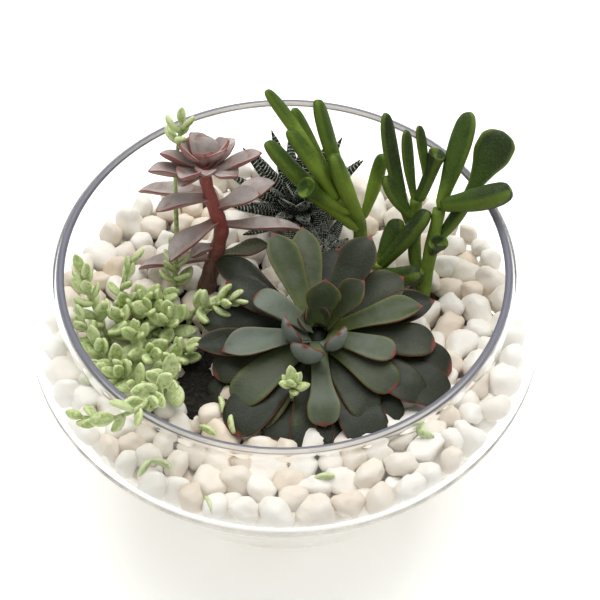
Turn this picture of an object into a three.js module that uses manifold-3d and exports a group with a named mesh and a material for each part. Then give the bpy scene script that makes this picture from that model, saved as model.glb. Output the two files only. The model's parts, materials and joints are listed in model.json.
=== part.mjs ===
// Glass bowl terrarium: an open bowl of clear glass filled with soil and white pebbles, and planted with
// succulents. Millimetres, +Z up. The origin is the middle of the bowl's foot, on the surface it stands on.
// The front of the planting looks along -Y.
import * as THREE from "three";
import { mergeGeometries, mergeVertices } from "three/addons/utils/BufferGeometryUtils.js";
import Module from "manifold-3d";

const wasm = await Module();
wasm.setup();

// Bowl
const BOWL_HEIGHT = 160;
const BELLY_RADIUS = 150;
const BELLY_HEIGHT = 112;
const RIM_RADIUS = 130;
const FOOT_RADIUS = 88;
const WALL = 4.5;
const BASE_THICKNESS = 9;
const BOWL_SEGMENTS = 36;

// Soil and pebbles
const CLEARANCE = 0.35; // between pieces that touch
const BED_GAP = 1; // pebbles to the true curve of the glass, whose facets cut inside it
const BED_LEVEL = 106; // top of the pebbles in the middle of the bowl
const BED_SLOPE = -0.065; // the pebbles lie higher at the front
const PEBBLE_SPACING = 26;
const PEBBLE_HEIGHT = 7.5; // above the bed between the pebbles
const PEBBLE_SIDES = 5;
const SIDE_PEBBLES = 31; // round the bed against the glass
const SIDE_ROWS = 8; // from the base up to the bed's edge, a crest and a hollow to a pebble
const SIDE_RELIEF = 7; // depth of the hollows between them
const EDGE_INSET = 2.2; // the bed's upper edge stands back from the glass
const SOIL_RADIUS = 102;
const SOIL_TOP = 86;
const SOIL_BOTTOM = 30;
const ROOT_DEPTH = 14; // stems go this deep into the soil

// Colours
const material = (color, roughness, extra = {}) =>
  new THREE.MeshStandardMaterial({ color, roughness, metalness: 0, ...extra });
const GLASS = material(0xe9eef0, 0.05, { transparent: true, opacity: 0.35 });
const SOIL = material(0x3a2c22, 0.95);
const PEBBLES = material(0xe9e2d6, 0.7);
const GREY_GREEN_LEAF = material(0x4f5f52, 0.55);
const PURPLE_LEAF = material(0x7d666b, 0.55);
const MID_GREEN_LEAF = material(0x4c7a26, 0.45);
const DARK_GREEN_LEAF = material(0x2c3d28, 0.6);
const PALE_GREEN_LEAF = material(0xa3c476, 0.6);

const radians = THREE.MathUtils.degToRad;
const vector = (x, y, z) => new THREE.Vector3(x, y, z);
const WORLD_UP = vector(0, 0, 1);

// A small seeded generator, so that every build places the pebbles and leaves alike.
function seeded(seed) {
  let state = seed;
  return () => {
    state = (Math.imul(state, 1664525) + 1013904223) >>> 0;
    return state / 4294967296;
  };
}

// Solids

function solidOf(geometry) {
  const bare = new THREE.BufferGeometry();
  bare.setAttribute("position", geometry.getAttribute("position"));
  if (geometry.index) bare.setIndex(geometry.index);
  const merged = mergeVertices(bare, 1e-3);
  return new wasm.Manifold(
    new wasm.Mesh({
      numProp: 3,
      vertProperties: merged.getAttribute("position").array,
      triVerts: new Uint32Array(merged.index.array),
    }),
  );
}

const joined = (solids) => solids.reduce((sum, solid) => sum.add(solid));

// The largest of the bodies a cut leaves; loose scraps are dropped.
function largest(solid) {
  const bodies = solid.decompose();
  return bodies.reduce((best, body) => (body.volume() > best.volume() ? body : best));
}

function meshOf(name, solid, skin) {
  const { vertProperties, triVerts } = solid.getMesh();
  const geometry = new THREE.BufferGeometry();
  geometry.setAttribute("position", new THREE.BufferAttribute(vertProperties, 3));
  geometry.setIndex(new THREE.BufferAttribute(triVerts, 1));
  geometry.computeVertexNormals();
  const mesh = new THREE.Mesh(geometry, skin);
  mesh.name = name;
  return mesh;
}

// Skins rings of points, each counterclockwise about the way the rings go. A ring of one point closes an
// end. An open foot or end is joined on by the caller.
function loft(rings, { foot = true, end = true } = {}) {
  const positions = rings.flat().flatMap((p) => [p.x, p.y, p.z]);
  const starts = [];
  rings.reduce((at, ring) => (starts.push(at), at + ring.length), 0);
  const faces = [];
  for (let k = 0; k + 1 < rings.length; k++) {
    const [a, b] = [starts[k], starts[k + 1]];
    const [na, nb] = [rings[k].length, rings[k + 1].length];
    const sides = Math.max(na, nb);
    for (let i = 0; i < sides; i++) {
      const next = (i + 1) % sides;
      if (na > 1) faces.push(a + i, a + next, nb > 1 ? b + next : b);
      if (nb > 1) faces.push(na > 1 ? a + i : a, b + next, b + i);
    }
  }
  const cap = (start, count, flip) => {
    for (let i = 1; i + 1 < count; i++)
      faces.push(start, flip ? start + i + 1 : start + i, flip ? start + i : start + i + 1);
  };
  if (foot) cap(starts[0], rings[0].length, true);
  if (end) cap(starts.at(-1), rings.at(-1).length, false);
  const geometry = new THREE.BufferGeometry();
  geometry.setAttribute("position", new THREE.Float32BufferAttribute(positions, 3));
  geometry.setIndex(faces);
  return geometry;
}

function trianglesOf(corners) {
  const geometry = new THREE.BufferGeometry();
  const positions = corners.flatMap((p) => [p.x, p.y, p.z]);
  geometry.setAttribute("position", new THREE.Float32BufferAttribute(positions, 3));
  return geometry;
}

// A tapering stem of round section along points, with a radius at its foot and at its end.
function stemGeometry(points, footRadius, endRadius, steps, sides = 7) {
  const curve = new THREE.CatmullRomCurve3(points);
  const rings = [];
  for (let k = 0; k <= steps; k++) {
    const t = k / steps;
    const along = curve.getTangent(t);
    const side = vector(0, 1, 0).cross(along).normalize();
    const other = along.clone().cross(side);
    const radius = THREE.MathUtils.lerp(footRadius, endRadius, t);
    const ring = [];
    for (let i = 0; i < sides; i++) {
      const turn = (2 * Math.PI * i) / sides;
      ring.push(
        curve
          .getPoint(t)
          .addScaledVector(side, radius * Math.cos(turn))
          .addScaledVector(other, radius * Math.sin(turn)),
      );
    }
    rings.push(ring);
  }
  return loft(rings);
}

// Leaf outlines: [distance along the leaf, half width over the leaf's half width], with a point at the end.
const SPOON = [[0, 0.45], [0.48, 0.78], [0.8, 1]];
const BLADE = [[0, 0.42], [0.62, 1]];
const LANCE = [[0, 0.85], [0.45, 1]];
const FINGER = [[0, 0.42], [0.6, 1], [0.93, 0.8]];
const PADDLE = [[0, 0.3], [0.35, 0.55], [0.75, 1], [0.95, 0.7]];
const DROP = [[0.3, 0.8], [0.75, 0.95]];
const TRUMPET = [[0, 0.45], [0.6, 0.6], [0.97, 1]];
const FINGER_FATNESS = 0.75; // thickness over width
const PADDLE_FATNESS = 0.42;

// Leaf sections: [across over the half width, up over the half thickness], counterclockwise from one edge.
const ROUND = [[1, 0.1], [0, 1], [-1, 0.1], [-0.6, -0.85], [0.6, -0.85]];
const KEELED = [[1, 0.2], [0, 0.7], [-1, 0.2], [0, -1]];
const PLUMP = [[1, 0], [0, 1], [-1, 0], [0, -1]];

// A leaf: a closed solid along a centre line that leaves `from` along `heading` and turns by `curl` degrees
// towards `up` (or, below zero, away from it) on its way to the tip. `cup` raises its edges.
function leafGeometry(leaf, grow = 0) {
  const { from, heading, up, length, width, thickness, outline, section, curl = 0, cup = 0 } = leaf;
  const along = heading.clone().normalize();
  const normal = up.clone().addScaledVector(along, -up.dot(along)).normalize();
  const side = normal.clone().cross(along);
  const turned = (s) => {
    const angle = radians(curl) * s;
    return {
      tangent: along.clone().multiplyScalar(Math.cos(angle)).addScaledVector(normal, Math.sin(angle)),
      lift: normal.clone().multiplyScalar(Math.cos(angle)).addScaledVector(along, -Math.sin(angle)),
    };
  };
  const full = length + grow;
  const halfWidth = width / 2;
  const rings = [];
  const point = from.clone();
  let reached = 0;
  const advance = (s) => {
    point.addScaledVector(turned((s + reached) / 2).tangent, full * (s - reached));
    reached = s;
  };
  if (outline[0][0] > 0) rings.push([from.clone()]);
  for (const [s, share] of outline) {
    advance(s);
    const { lift } = turned(s);
    const across = halfWidth * share + grow;
    const deep = (thickness / 2) * Math.sqrt(share) + grow;
    rings.push(
      section.map(([u, v]) =>
        point
          .clone()
          .addScaledVector(side, across * u)
          .addScaledVector(lift, deep * v + cup * halfWidth * share * u * u),
      ),
    );
  }
  advance(1);
  rings.push([point.clone()]);
  return loft(rings);
}

// A plant: its own solid, and one grown all over by the clearance that others are cut back to.
function plantOf(name, skin, pieces) {
  const build = (grow) => joined(pieces.map((piece) => solidOf(piece(grow))));
  return { name, skin, solid: build(0), grown: build(CLEARANCE) };
}

const leafPiece = (leaf) => (grow) => leafGeometry(leaf, grow);
const stemPiece = (points, foot, end, steps, sides) => (grow) =>
  stemGeometry(points, foot + grow, end + grow, steps, sides);

// Leaves round a growing point. Each row is [azimuth, rise, length, width, curl]; the azimuth is turned
// from +X towards +Y. Steeper leaves start nearer the middle and higher.
function rosetteLeaves(crown, rows, style) {
  const upright = style.axis.clone().normalize();
  const frame = new THREE.Quaternion().setFromUnitVectors(WORLD_UP, upright);
  return rows.map(([azimuth, rise, length, width, curl = 0]) => {
    const [a, r] = [radians(azimuth), radians(rise)];
    const outward = vector(Math.cos(a), Math.sin(a), 0);
    const steep = THREE.MathUtils.clamp(rise / 70, 0, 1);
    const from = outward
      .clone()
      .multiplyScalar(THREE.MathUtils.lerp(style.coreRadius, style.coreRadius * 0.3, steep))
      .add(vector(0, 0, THREE.MathUtils.lerp(-style.coreHeight, 0, steep)))
      .applyQuaternion(frame)
      .add(crown);
    const heading = outward.multiplyScalar(Math.cos(r)).setZ(Math.sin(r)).applyQuaternion(frame);
    return leafPiece({ ...style.leaf, from, heading, up: upright, length, width, curl });
  });
}

// Bowl

// Half of the bowl's outer outline from the edge of the foot to the rim, as [radius, height].
const OUTER_OUTLINE = new THREE.SplineCurve(
  [
    [FOOT_RADIUS, 0],
    [FOOT_RADIUS + 12, 8],
    [113, 34],
    [128, 64],
    [142, 92],
    [BELLY_RADIUS, BELLY_HEIGHT],
    [145.5, 129],
    [138, 145],
    [RIM_RADIUS, BOWL_HEIGHT],
  ].map(([r, z]) => new THREE.Vector2(r, z)),
);
const OUTLINE_STEPS = 9;

// The same outline moved inwards along its normals.
function insetOutline(inset) {
  const points = [];
  for (let k = 0; k <= OUTLINE_STEPS; k++) {
    const t = k / OUTLINE_STEPS;
    const along = OUTER_OUTLINE.getTangent(t);
    points.push(OUTER_OUTLINE.getPoint(t).add(new THREE.Vector2(-along.y, along.x).multiplyScalar(inset)));
  }
  return points;
}

// Radius inside the glass at a height, by straight lines between the outline's points.
const INNER_OUTLINE = insetOutline(WALL);
function innerRadius(height) {
  const k = Math.max(1, INNER_OUTLINE.findIndex((p) => p.y > height));
  const [a, b] = [INNER_OUTLINE[k - 1], INNER_OUTLINE[k]];
  return THREE.MathUtils.mapLinear(height, a.y, b.y, a.x, b.x);
}

function glassBowl() {
  const inner = INNER_OUTLINE.filter((p) => p.y > BASE_THICKNESS).map((p) => p.clone());
  inner.at(-1).y = BOWL_HEIGHT;
  const profile = [
    new THREE.Vector2(0, 0),
    ...insetOutline(0),
    ...inner.reverse(),
    new THREE.Vector2(innerRadius(BASE_THICKNESS), BASE_THICKNESS),
    new THREE.Vector2(0, BASE_THICKNESS),
  ];
  return solidOf(new THREE.LatheGeometry(profile, BOWL_SEGMENTS).rotateX(Math.PI / 2));
}

// Soil and pebbles

const bedLevel = (x, y) => BED_LEVEL + BED_SLOPE * y;
// Radius where the ground between the pebbles meets the glass, in a direction from the bowl's axis.
const edgeRadius = (turn) =>
  innerRadius(bedLevel(0, innerRadius(BED_LEVEL) * Math.sin(turn)) - PEBBLE_HEIGHT);

function soilSolid(grow = 0) {
  const profile = [
    [0, SOIL_BOTTOM],
    [62, SOIL_BOTTOM],
    [84, 44],
    [98, 66],
    [SOIL_RADIUS, 78],
    [SOIL_RADIUS - 6, SOIL_TOP - 2],
    [60, SOIL_TOP],
    [0, SOIL_TOP],
  ].map(([r, z], i, all) => {
    const down = i < 4 ? -grow : grow;
    return new THREE.Vector2(r === 0 ? 0 : r + grow, z + down);
  });
  return solidOf(new THREE.LatheGeometry(profile, 20).rotateX(Math.PI / 2));
}

// Where the stems come up, pebbles are left out: [x, y, radius].
const PLANTING = [
  [19, -24, 60],
  [-48, 27, 13],
  [46, 66, 14],
  [83, 25, 14],
  [56, 36, 13],
  [8, 92, 18],
  [-82, -24, 36],
];
const planted = (x, y, margin) => PLANTING.some(([px, py, r]) => Math.hypot(x - px, y - py) < r + margin);

// Places of the pebbles on top of the bed, in rings from the glass inwards, with seeded sizes and turns.
function pebblePlaces() {
  const draw = seeded(7);
  const places = [];
  for (let ring = 0; ; ring++) {
    const inset = (0.62 + 0.93 * ring) * PEBBLE_SPACING;
    const radius = innerRadius(BED_LEVEL) - inset;
    if (radius < 0) return places;
    const count = Math.max(1, Math.floor((2 * Math.PI * radius) / PEBBLE_SPACING));
    for (let i = 0; i < count; i++) {
      const turn = (2 * Math.PI * (i + 0.5 * (ring % 2) + 0.05 * (draw() - 0.5))) / count;
      const r = edgeRadius(turn) - inset;
      const place = {
        x: r * Math.cos(turn),
        y: r * Math.sin(turn),
        radius: PEBBLE_SPACING * (0.37 + 0.05 * draw()),
        heading: 2 * Math.PI * draw(),
        height: PEBBLE_HEIGHT * (0.85 + 0.3 * draw()),
      };
      if (!planted(place.x, place.y, 3)) places.push(place);
    }
  }
}

// Pebbles to the glass all round and up to the bed's sloping top, out of which rounded pebbles stand.
function pebbleBed() {
  const around = 2 * SIDE_PEBBLES;
  const low = BASE_THICKNESS + CLEARANCE;
  const topAt = (x, y) => vector(x, y, bedLevel(x, y) - PEBBLE_HEIGHT);
  const rings = [[vector(0, 0, low)]];
  for (let row = 0; row <= SIDE_ROWS; row++) {
    const ring = [];
    for (let i = 0; i < around; i++) {
      const turn = (2 * Math.PI * i) / around;
      const hollow = (i + row) % 2 === 0 ? SIDE_RELIEF : 0;
      const edge = edgeRadius(turn) - BED_GAP - EDGE_INSET;
      const top = topAt(edge * Math.cos(turn), edge * Math.sin(turn));
      const z = THREE.MathUtils.lerp(low, top.z, row / SIDE_ROWS);
      const r = row === SIDE_ROWS ? edge : innerRadius(Math.max(z, low + 1)) - BED_GAP - hollow;
      ring.push(vector(r * Math.cos(turn), r * Math.sin(turn), z));
    }
    rings.push(ring);
  }
  const pebbleRing = ({ x, y, radius, heading, height }, share, lift) => {
    const ring = [];
    for (let i = 0; i < PEBBLE_SIDES; i++) {
      const turn = heading + (2 * Math.PI * i) / PEBBLE_SIDES;
      const r = radius * share * (i % 3 === 0 ? 1.1 : 0.98);
      ring.push(topAt(x + r * Math.cos(turn), y + r * Math.sin(turn)).add(vector(0, 0, lift * height)));
    }
    return ring;
  };
  const places = pebblePlaces();
  const feet = places.map((place) => pebbleRing(place, 1, 0));
  const flat = (ring) => ring.map((p) => new THREE.Vector2(p.x, p.y));
  const faces = THREE.ShapeUtils.triangulateShape(
    flat(rings.at(-1)),
    feet.map((ring) => flat(ring).reverse()),
  );
  const corners = [...rings.at(-1), ...feet.flatMap((ring) => [...ring].reverse())];
  const pieces = [
    loft(rings, { end: false }),
    ...places.map((place, i) =>
      loft([feet[i], pebbleRing(place, 1.06, 0.3), pebbleRing(place, 0.62, 0.95)], { foot: false }),
    ),
    trianglesOf(faces.flat().map((index) => corners[index])),
  ];
  return solidOf(mergeGeometries(pieces.map((piece) => (piece.index ? piece.toNonIndexed() : piece))));
}

// Large rosette of broad grey-green leaves with red points

const LARGE_CROWN = vector(19, -21, 126);
const LARGE_ROWS = [
  // Young leaves that close over the heart
  [120, 76, 17, 10, 8],
  [10, 76, 17, 10, 8],
  [250, 78, 15, 9, 8],
  // Cup round the heart
  [73, 60, 31, 21, 6],
  [31, 40, 39, 19, 4],
  [256, 46, 32, 22, 34],
  [222, 54, 28, 16, 14],
  [303, 54, 28, 17, 14],
  // Long upper leaves
  [115, 20, 60, 22, 0],
  [98, 16, 60, 21, 0],
  [55, 20, 61, 25, 0],
  [157, 26, 43, 17, -34],
  [7, 15, 62, 21, -8],
  [330, 22, 52, 19, -14],
  [199, 20, 57, 19, -16],
  [273, 17, 66, 24, -26],
  // Middle leaves
  [33, 9, 55, 25, 0],
  [287, 9, 62, 22, -14],
  [311, 14, 58, 24, -16],
  [318, 9, 68, 24, -12],
  [350, 10, 62, 24, -10],
  [150, 10, 56, 22, -4],
  [224, 13, 64, 24, -20],
  [206, 11, 64, 22, -16],
  [236, 8, 64, 22, -12],
  [265, 8, 62, 22, -12],
  // Lowest leaves, spread over the pebbles
  [344, 5, 72, 26, -6],
  [329, 4, 78, 28, -6],
  [16, 4, 64, 22, 6],
  [193, 4, 66, 19, 26],
  [233, 4, 76, 28, -6],
  [267, 4, 72, 26, -6],
  [293, 4, 72, 28, -6],
  [127, 4, 74, 19, 12],
  [78, 4, 52, 22, 0],
  [173, 4, 62, 24, -4],
];

function largeRosette() {
  const axis = vector(0, -Math.sin(radians(8)), Math.cos(radians(8)));
  const style = {
    axis,
    coreRadius: 8,
    coreHeight: 10,
    leaf: { thickness: 6, outline: SPOON, section: KEELED, cup: 0.14 },
  };
  const foot = vector(19, -16, SOIL_TOP - ROOT_DEPTH);
  const top = LARGE_CROWN.clone().addScaledVector(axis, 1);
  return plantOf("echeveria_large", GREY_GREEN_LEAF, [
    stemPiece([foot, vector(19, -18, 104), LARGE_CROWN], 8, 9, 2, 8),
    stemPiece([vector(19, -19, 112), top], 11, 5, 1, 8),
    ...rosetteLeaves(LARGE_CROWN, LARGE_ROWS, style),
  ]);
}

// Leaves that reach from a point to a point, bowed by curl degrees: each row is [from, to, width, curl]. A
// paddle's face looks to the front.
function reachLeaves(rows, style) {
  return rows.map(([from, to, width, curl = 0, outline = style.leaf.outline]) => {
    const start = vector(...from);
    const chord = vector(...to).sub(start);
    const length = chord.length();
    const along = chord.normalize();
    const up = outline === PADDLE ? vector(0, -0.6, 0.8) : style.axis;
    const normal = up.clone().addScaledVector(along, -up.dot(along)).normalize();
    const half = radians(curl) / 2;
    const heading = along.clone().multiplyScalar(Math.cos(half)).addScaledVector(normal, -Math.sin(half));
    const fatness = outline === PADDLE ? PADDLE_FATNESS : FINGER_FATNESS;
    const thickness = style.leaf.thickness ?? width * fatness;
    return leafPiece({ ...style.leaf, outline, from: start, heading, up, length, width, thickness, curl });
  });
}

// Small mauve rosette on a bare red stem

const PURPLE_CROWN = vector(-47, 55, 179);
const PURPLE_STEM = [[-48, 27, SOIL_TOP - ROOT_DEPTH], [-48, 27, 100], [-42, 38, 120], [-38, 44, 138],
  [-42, 46, 154], [-46, 52, 170], [-47, 55, 181]];
const PURPLE_LEAVES = [
  // Head
  [[-49, 57, 180], [-60, 59, 194], 20, 20],
  [[-45, 58, 180], [-34, 57, 193], 19, 16],
  [[-46, 56, 179], [-45, 68, 192], 18, 14],
  [[-48, 55, 180], [-46, 54, 192], 12, 10],
  [[-45, 54, 178], [-27, 46, 182], 17, 14],
  [[-48, 53, 178], [-60, 42, 184], 18, 16],
  [[-47, 57, 178], [-54, 68, 195], 17, 14],
  [[-45, 57, 178], [-33, 64, 193], 17, 16],
  [[-43, 54, 176], [-14, 58, 190], 15, 24],
  [[-47, 52, 176], [-62, 47, 173], 16, -26],
  [[-46, 52, 178], [-45, 43, 185], 14, -30],
  [[-49, 53, 176], [-79, 52, 181], 17, 20],
  [[-49, 57, 176], [-72, 60, 187], 13, 14],
  [[-46, 55, 176], [-30, 74, 184], 15, 14],
  // Along the stem
  [[-43, 52, 160], [-90, 76, 138], 16, 10],
  [[-43, 48, 160], [-76, 41, 158], 15, -10],
  [[-41, 46, 154], [-15, 53, 160], 16, 14],
  [[-40, 47, 150], [-6, 70, 152], 16, 8],
  [[-40, 48, 148], [-52, 68, 148], 15, 8],
  [[-40, 44, 144], [-69, 22, 134], 18, -10],
  [[-38, 45, 140], [11, 50, 132], 15, 8],
  [[-44, 37, 118], [-90, 40, 107], 16, -4],
  [[-42, 40, 126], [-57, 36, 121], 12, -8],
  [[-40, 38, 120], [-10, 42, 126], 14, 26],
];

function purpleRosette() {
  const style = {
    axis: vector(0.05, 0.3, 1).normalize(),
    leaf: { thickness: 4.6, outline: BLADE, section: KEELED, cup: 0.16 },
  };
  const path = PURPLE_STEM.map((p) => vector(...p));
  return plantOf("echeveria_purple", PURPLE_LEAF, [
    stemPiece(path, 4.4, 4.2, 8, 6),
    ...reachLeaves(PURPLE_LEAVES, style),
  ]);
}

// Green plants with leaves like fingers and trumpets

const FINGER_PLANTS = [
  {
    name: "crassula_left",
    stems: [[[[46, 66, SOIL_TOP - ROOT_DEPTH], [46, 66, 104], [44, 67, 120], [33, 70, 136]], 5, 3.6]],
    leaves: [
      [[31, 72, 136], [-11, 97, 200], 9.5, -10],
      [[31, 74, 138], [5, 96, 186], 9, 8],
      [[31, 69, 134], [2, 84, 180], 11.5, -8],
      [[40, 71, 128], [19, 93, 196], 11, 10],
      [[44, 63, 114], [-11, 82, 172], 12.5, -14],
      [[39, 66, 126], [12, 61, 155], 11.5, -12, TRUMPET],
      [[37, 70, 130], [4, 80, 150], 6, -10],
      [[43, 65, 116], [14, 70, 138], 6.5, 8],
      [[46, 66, 118], [28, 75, 168], 13, 6],
      [[47, 68, 118], [58, 83, 160], 10, 10],
    ],
  },
  {
    name: "crassula_right",
    stems: [
      [[[83, 25, SOIL_TOP - ROOT_DEPTH], [83, 25, 104], [87, 37, 128], [91, 48, 150]], 5, 3.8],
      [[[84, 27, 104], [78, 38, 116], [78, 52, 132], [78, 59, 147]], 4, 3.6],
    ],
    leaves: [
      [[77, 48, 126], [59, 86, 192], 10, 26],
      [[78, 57, 142], [71, 78, 186], 7.5, 22],
      [[83, 62, 160], [78, 76, 192], 6.5, -8],
      [[79, 58, 146], [89, 67, 178], 11, 8, TRUMPET],
      [[91, 49, 150], [107, 79, 200], 14, 4],
      [[107, 49, 158], [127, 72.5, 190.5], 22.5, 4, PADDLE],
      [[92, 47, 155], [129, 35, 181], 17, 10],
      [[88, 39, 128], [108, 50, 161], 10, 18],
      [[78, 53, 134], [60, 68, 157], 9, 14],
      [[87, 36, 126], [90, 28, 143], 12, 10, TRUMPET],
    ],
  },
  {
    name: "crassula_offshoot",
    stems: [[[[56, 36, SOIL_TOP - ROOT_DEPTH], [56, 36, 100], [56, 37, 114]], 4.4, 3.6]],
    leaves: [
      [[56, 36, 110], [84, 46, 151], 12.5, 8],
      [[56, 38, 110], [68, 54, 134], 13, 10],
      [[57, 34, 108], [80, 20, 125], 14, 30],
    ],
  },
];

function fingerPlant({ name, stems, leaves }) {
  const style = {
    axis: vector(0, 0.2, 1).normalize(),
    leaf: { outline: FINGER, section: ROUND },
  };
  return plantOf(name, MID_GREEN_LEAF, [
    ...stems.map(([path, foot, end]) => stemPiece(path.map((p) => vector(...p)), foot, end, 4, 6)),
    ...reachLeaves(leaves, style),
  ]);
}

// Dark tuft of pointed leaves

function pointedTuft() {
  const crown = vector(8, 92, 106);
  const whorls = [
    [9, 14, 44, 11, 18],
    [9, 32, 47, 11, 12],
    [7, 50, 42, 10.5, 8],
    [5, 68, 32, 9, 6],
  ];
  const rows = whorls.flatMap(([count, rise, length, width, curl], whorl) =>
    Array.from({ length: count }, (_, i) => [(360 * (i + 0.5 * whorl)) / count, rise, length, width, curl]),
  );
  const style = {
    axis: WORLD_UP,
    coreRadius: 5,
    coreHeight: 6,
    leaf: { thickness: 4, outline: LANCE, section: KEELED },
  };
  return plantOf("haworthia", DARK_GREEN_LEAF, [
    stemPiece([vector(8, 92, SOIL_TOP - ROOT_DEPTH), vector(8, 92, 96), vector(8, 92, 107)], 5, 7, 2, 6),
    ...rosetteLeaves(crown, rows, style),
  ]);
}

// Pale green leafy stems: points along each, the parts that carry leaves as shares of its length, and the
// distance between leaves

const ROOTS = SOIL_TOP - ROOT_DEPTH;
const LEAFY_STEMS = [
  {
    name: "tall",
    points: [[-66, 22, ROOTS], [-66, 23, 104], [-66, 28, 116], [-65, 45, 134], [-65, 56, 152],
      [-64, 65, 172], [-60, 78, 194]],
    leafy: [[0.24, 0.4], [0.86, 1]],
    pitch: 3.4,
  },
  {
    name: "thin",
    points: [[-96, -2, ROOTS], [-96, -2, 104], [-96, 5, 126], [-90, 15, 142]],
    leafy: [[0.48, 1]],
    pitch: 5.6,
  },
  {
    name: "left",
    points: [[-100, -20, ROOTS], [-103, -18, 106], [-111, -8, 130], [-116, -2, 152]],
    leafy: [[0.42, 1]],
    pitch: 4.4,
  },
  {
    name: "middle",
    points: [[-84, -20, ROOTS], [-84, -20, 104], [-86, -24, 126]],
    leafy: [[0.6, 1]],
    pitch: 3.1,
  },
  {
    name: "outer",
    points: [[-100, -36, ROOTS], [-103, -36, 104], [-108, -32, 122]],
    leafy: [[0.62, 1]],
    pitch: 3.1,
  },
  {
    name: "front_left",
    points: [[-88, -46, ROOTS], [-90, -47, 104], [-94, -49, 119]],
    leafy: [[0.7, 1]],
    pitch: 3.1,
  },
  {
    name: "inner",
    points: [[-68, -8, ROOTS], [-68, -8, 104], [-68, -13, 126]],
    leafy: [[0.6, 1]],
    pitch: 3.1,
  },
  {
    name: "right",
    points: [[-63, -28, ROOTS], [-62, -28, 104], [-57, -30, 118]],
    leafy: [[0.62, 1]],
    pitch: 3.1,
  },
  {
    name: "front",
    points: [[-74, -56, ROOTS], [-75, -58, 104], [-77, -62, 119]],
    leafy: [[0.76, 1]],
    pitch: 3.1,
  },
  {
    name: "back",
    points: [[-82, 8, ROOTS], [-82, 8, 104], [-82, 5, 121]],
    leafy: [[0.62, 1]],
    pitch: 3.1,
  },
  {
    name: "sprig",
    points: [[-57, 2, ROOTS], [-57, 2, 104], [-49, 3, 124], [-33, 4, 138]],
    leafy: [[0.5, 1]],
    pitch: 4.4,
  },
  {
    name: "front_sprig",
    points: [[4, -62, ROOTS], [4, -62, 108], [5, -64, 131]],
    leafy: [[0.84, 1]],
    pitch: 1.5,
  },
  {
    name: "trailing",
    points: [[-60, -42, ROOTS], [-62, -46, 104], [-69, -72, 140], [-76, -104, 165], [-93, -110, 162],
      [-112, -98, 147]],
    leafy: [[0.26, 1]],
    pitch: 6.7,
  },
];
const GOLDEN_TURN = 137.5;
const LEAF_LENGTH = 15; // on the lower part of a stem
const TIP_LEAF_LENGTH = 11;

function leafyStem({ name, points, leafy, pitch }, seed) {
  const draw = seeded(seed);
  const path = points.map((p) => vector(...p));
  const curve = new THREE.CatmullRomCurve3(path);
  const total = curve.getLength();
  const pieces = [stemPiece(path, 1.9, 1.5, Math.round(total / 17), 5)];
  let turn = 360 * draw();
  for (const [start, end] of leafy)
    for (let at = start * total; at <= end * total; at += pitch) {
      const share = at / total;
      const reached = (share - start) / (end - start);
      const along = curve.getTangentAt(share);
      const side = vector(0.3, 1, 0.2).cross(along).normalize();
      turn += GOLDEN_TURN;
      const outward = side.applyAxisAngle(along, radians(turn));
      const open = radians(THREE.MathUtils.lerp(70, 22, reached ** 2));
      const heading = along.clone().multiplyScalar(Math.cos(open)).addScaledVector(outward, Math.sin(open));
      const length = THREE.MathUtils.lerp(LEAF_LENGTH, TIP_LEAF_LENGTH, reached) * (0.9 + 0.2 * draw());
      const size = { length, width: length * 0.5, thickness: length * 0.36 };
      const from = curve.getPointAt(share);
      pieces.push(leafPiece({ from, heading, up: along, ...size, outline: DROP, section: PLUMP, curl: 14 }));
    }
  return plantOf("sedum_" + name, PALE_GREEN_LEAF, pieces);
}

// Assembly

const plants = [
  largeRosette(),
  purpleRosette(),
  ...FINGER_PLANTS.map(fingerPlant),
  pointedTuft(),
  ...LEAFY_STEMS.map((row, i) => leafyStem(row, 11 + i)),
];
const part = new THREE.Group();
part.add(meshOf("glass_bowl", glassBowl(), GLASS));
let growth = null;
for (const { name, solid, grown, skin } of plants) {
  part.add(meshOf(name, growth ? largest(solid.subtract(growth)) : solid, skin));
  growth = growth ? growth.add(grown) : grown;
}

const bed = pebbleBed().subtract(soilSolid(CLEARANCE));
part.add(meshOf("pebble_bed", largest(bed.subtract(growth)), PEBBLES));
part.add(meshOf("soil", largest(soilSolid().subtract(growth)), SOIL));

export default part;
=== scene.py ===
"""A glass bowl of white pebbles planted with succulents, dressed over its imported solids.

Metres, +Z up, the origin in the middle of the bowl's foot. Sizes are written in millimetres and turned
into metres where a mesh is made. The front of the planting looks along -Y.
"""

import json
import logging
import math
from dataclasses import dataclass, field, replace
from enum import Enum
from typing import Any, Iterable, Optional, Sequence

import bmesh
import bpy
import numpy as np
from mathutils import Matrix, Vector

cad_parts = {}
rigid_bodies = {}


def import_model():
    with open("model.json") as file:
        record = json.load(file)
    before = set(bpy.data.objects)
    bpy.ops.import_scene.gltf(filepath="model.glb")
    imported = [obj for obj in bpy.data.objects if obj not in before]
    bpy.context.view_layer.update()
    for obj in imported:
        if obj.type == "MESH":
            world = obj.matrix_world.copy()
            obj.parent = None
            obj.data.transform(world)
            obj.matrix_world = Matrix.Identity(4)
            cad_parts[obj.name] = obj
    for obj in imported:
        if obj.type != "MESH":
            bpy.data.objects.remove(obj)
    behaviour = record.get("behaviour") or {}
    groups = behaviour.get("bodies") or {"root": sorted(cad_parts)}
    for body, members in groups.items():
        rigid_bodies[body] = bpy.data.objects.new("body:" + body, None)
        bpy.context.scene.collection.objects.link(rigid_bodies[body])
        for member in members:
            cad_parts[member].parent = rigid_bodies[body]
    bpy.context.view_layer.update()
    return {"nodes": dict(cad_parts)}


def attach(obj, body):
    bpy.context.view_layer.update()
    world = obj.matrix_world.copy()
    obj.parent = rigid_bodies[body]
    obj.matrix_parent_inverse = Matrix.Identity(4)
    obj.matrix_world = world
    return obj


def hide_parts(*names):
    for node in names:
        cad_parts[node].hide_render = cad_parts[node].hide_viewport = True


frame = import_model()

log = logging.getLogger("terrarium")

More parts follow.
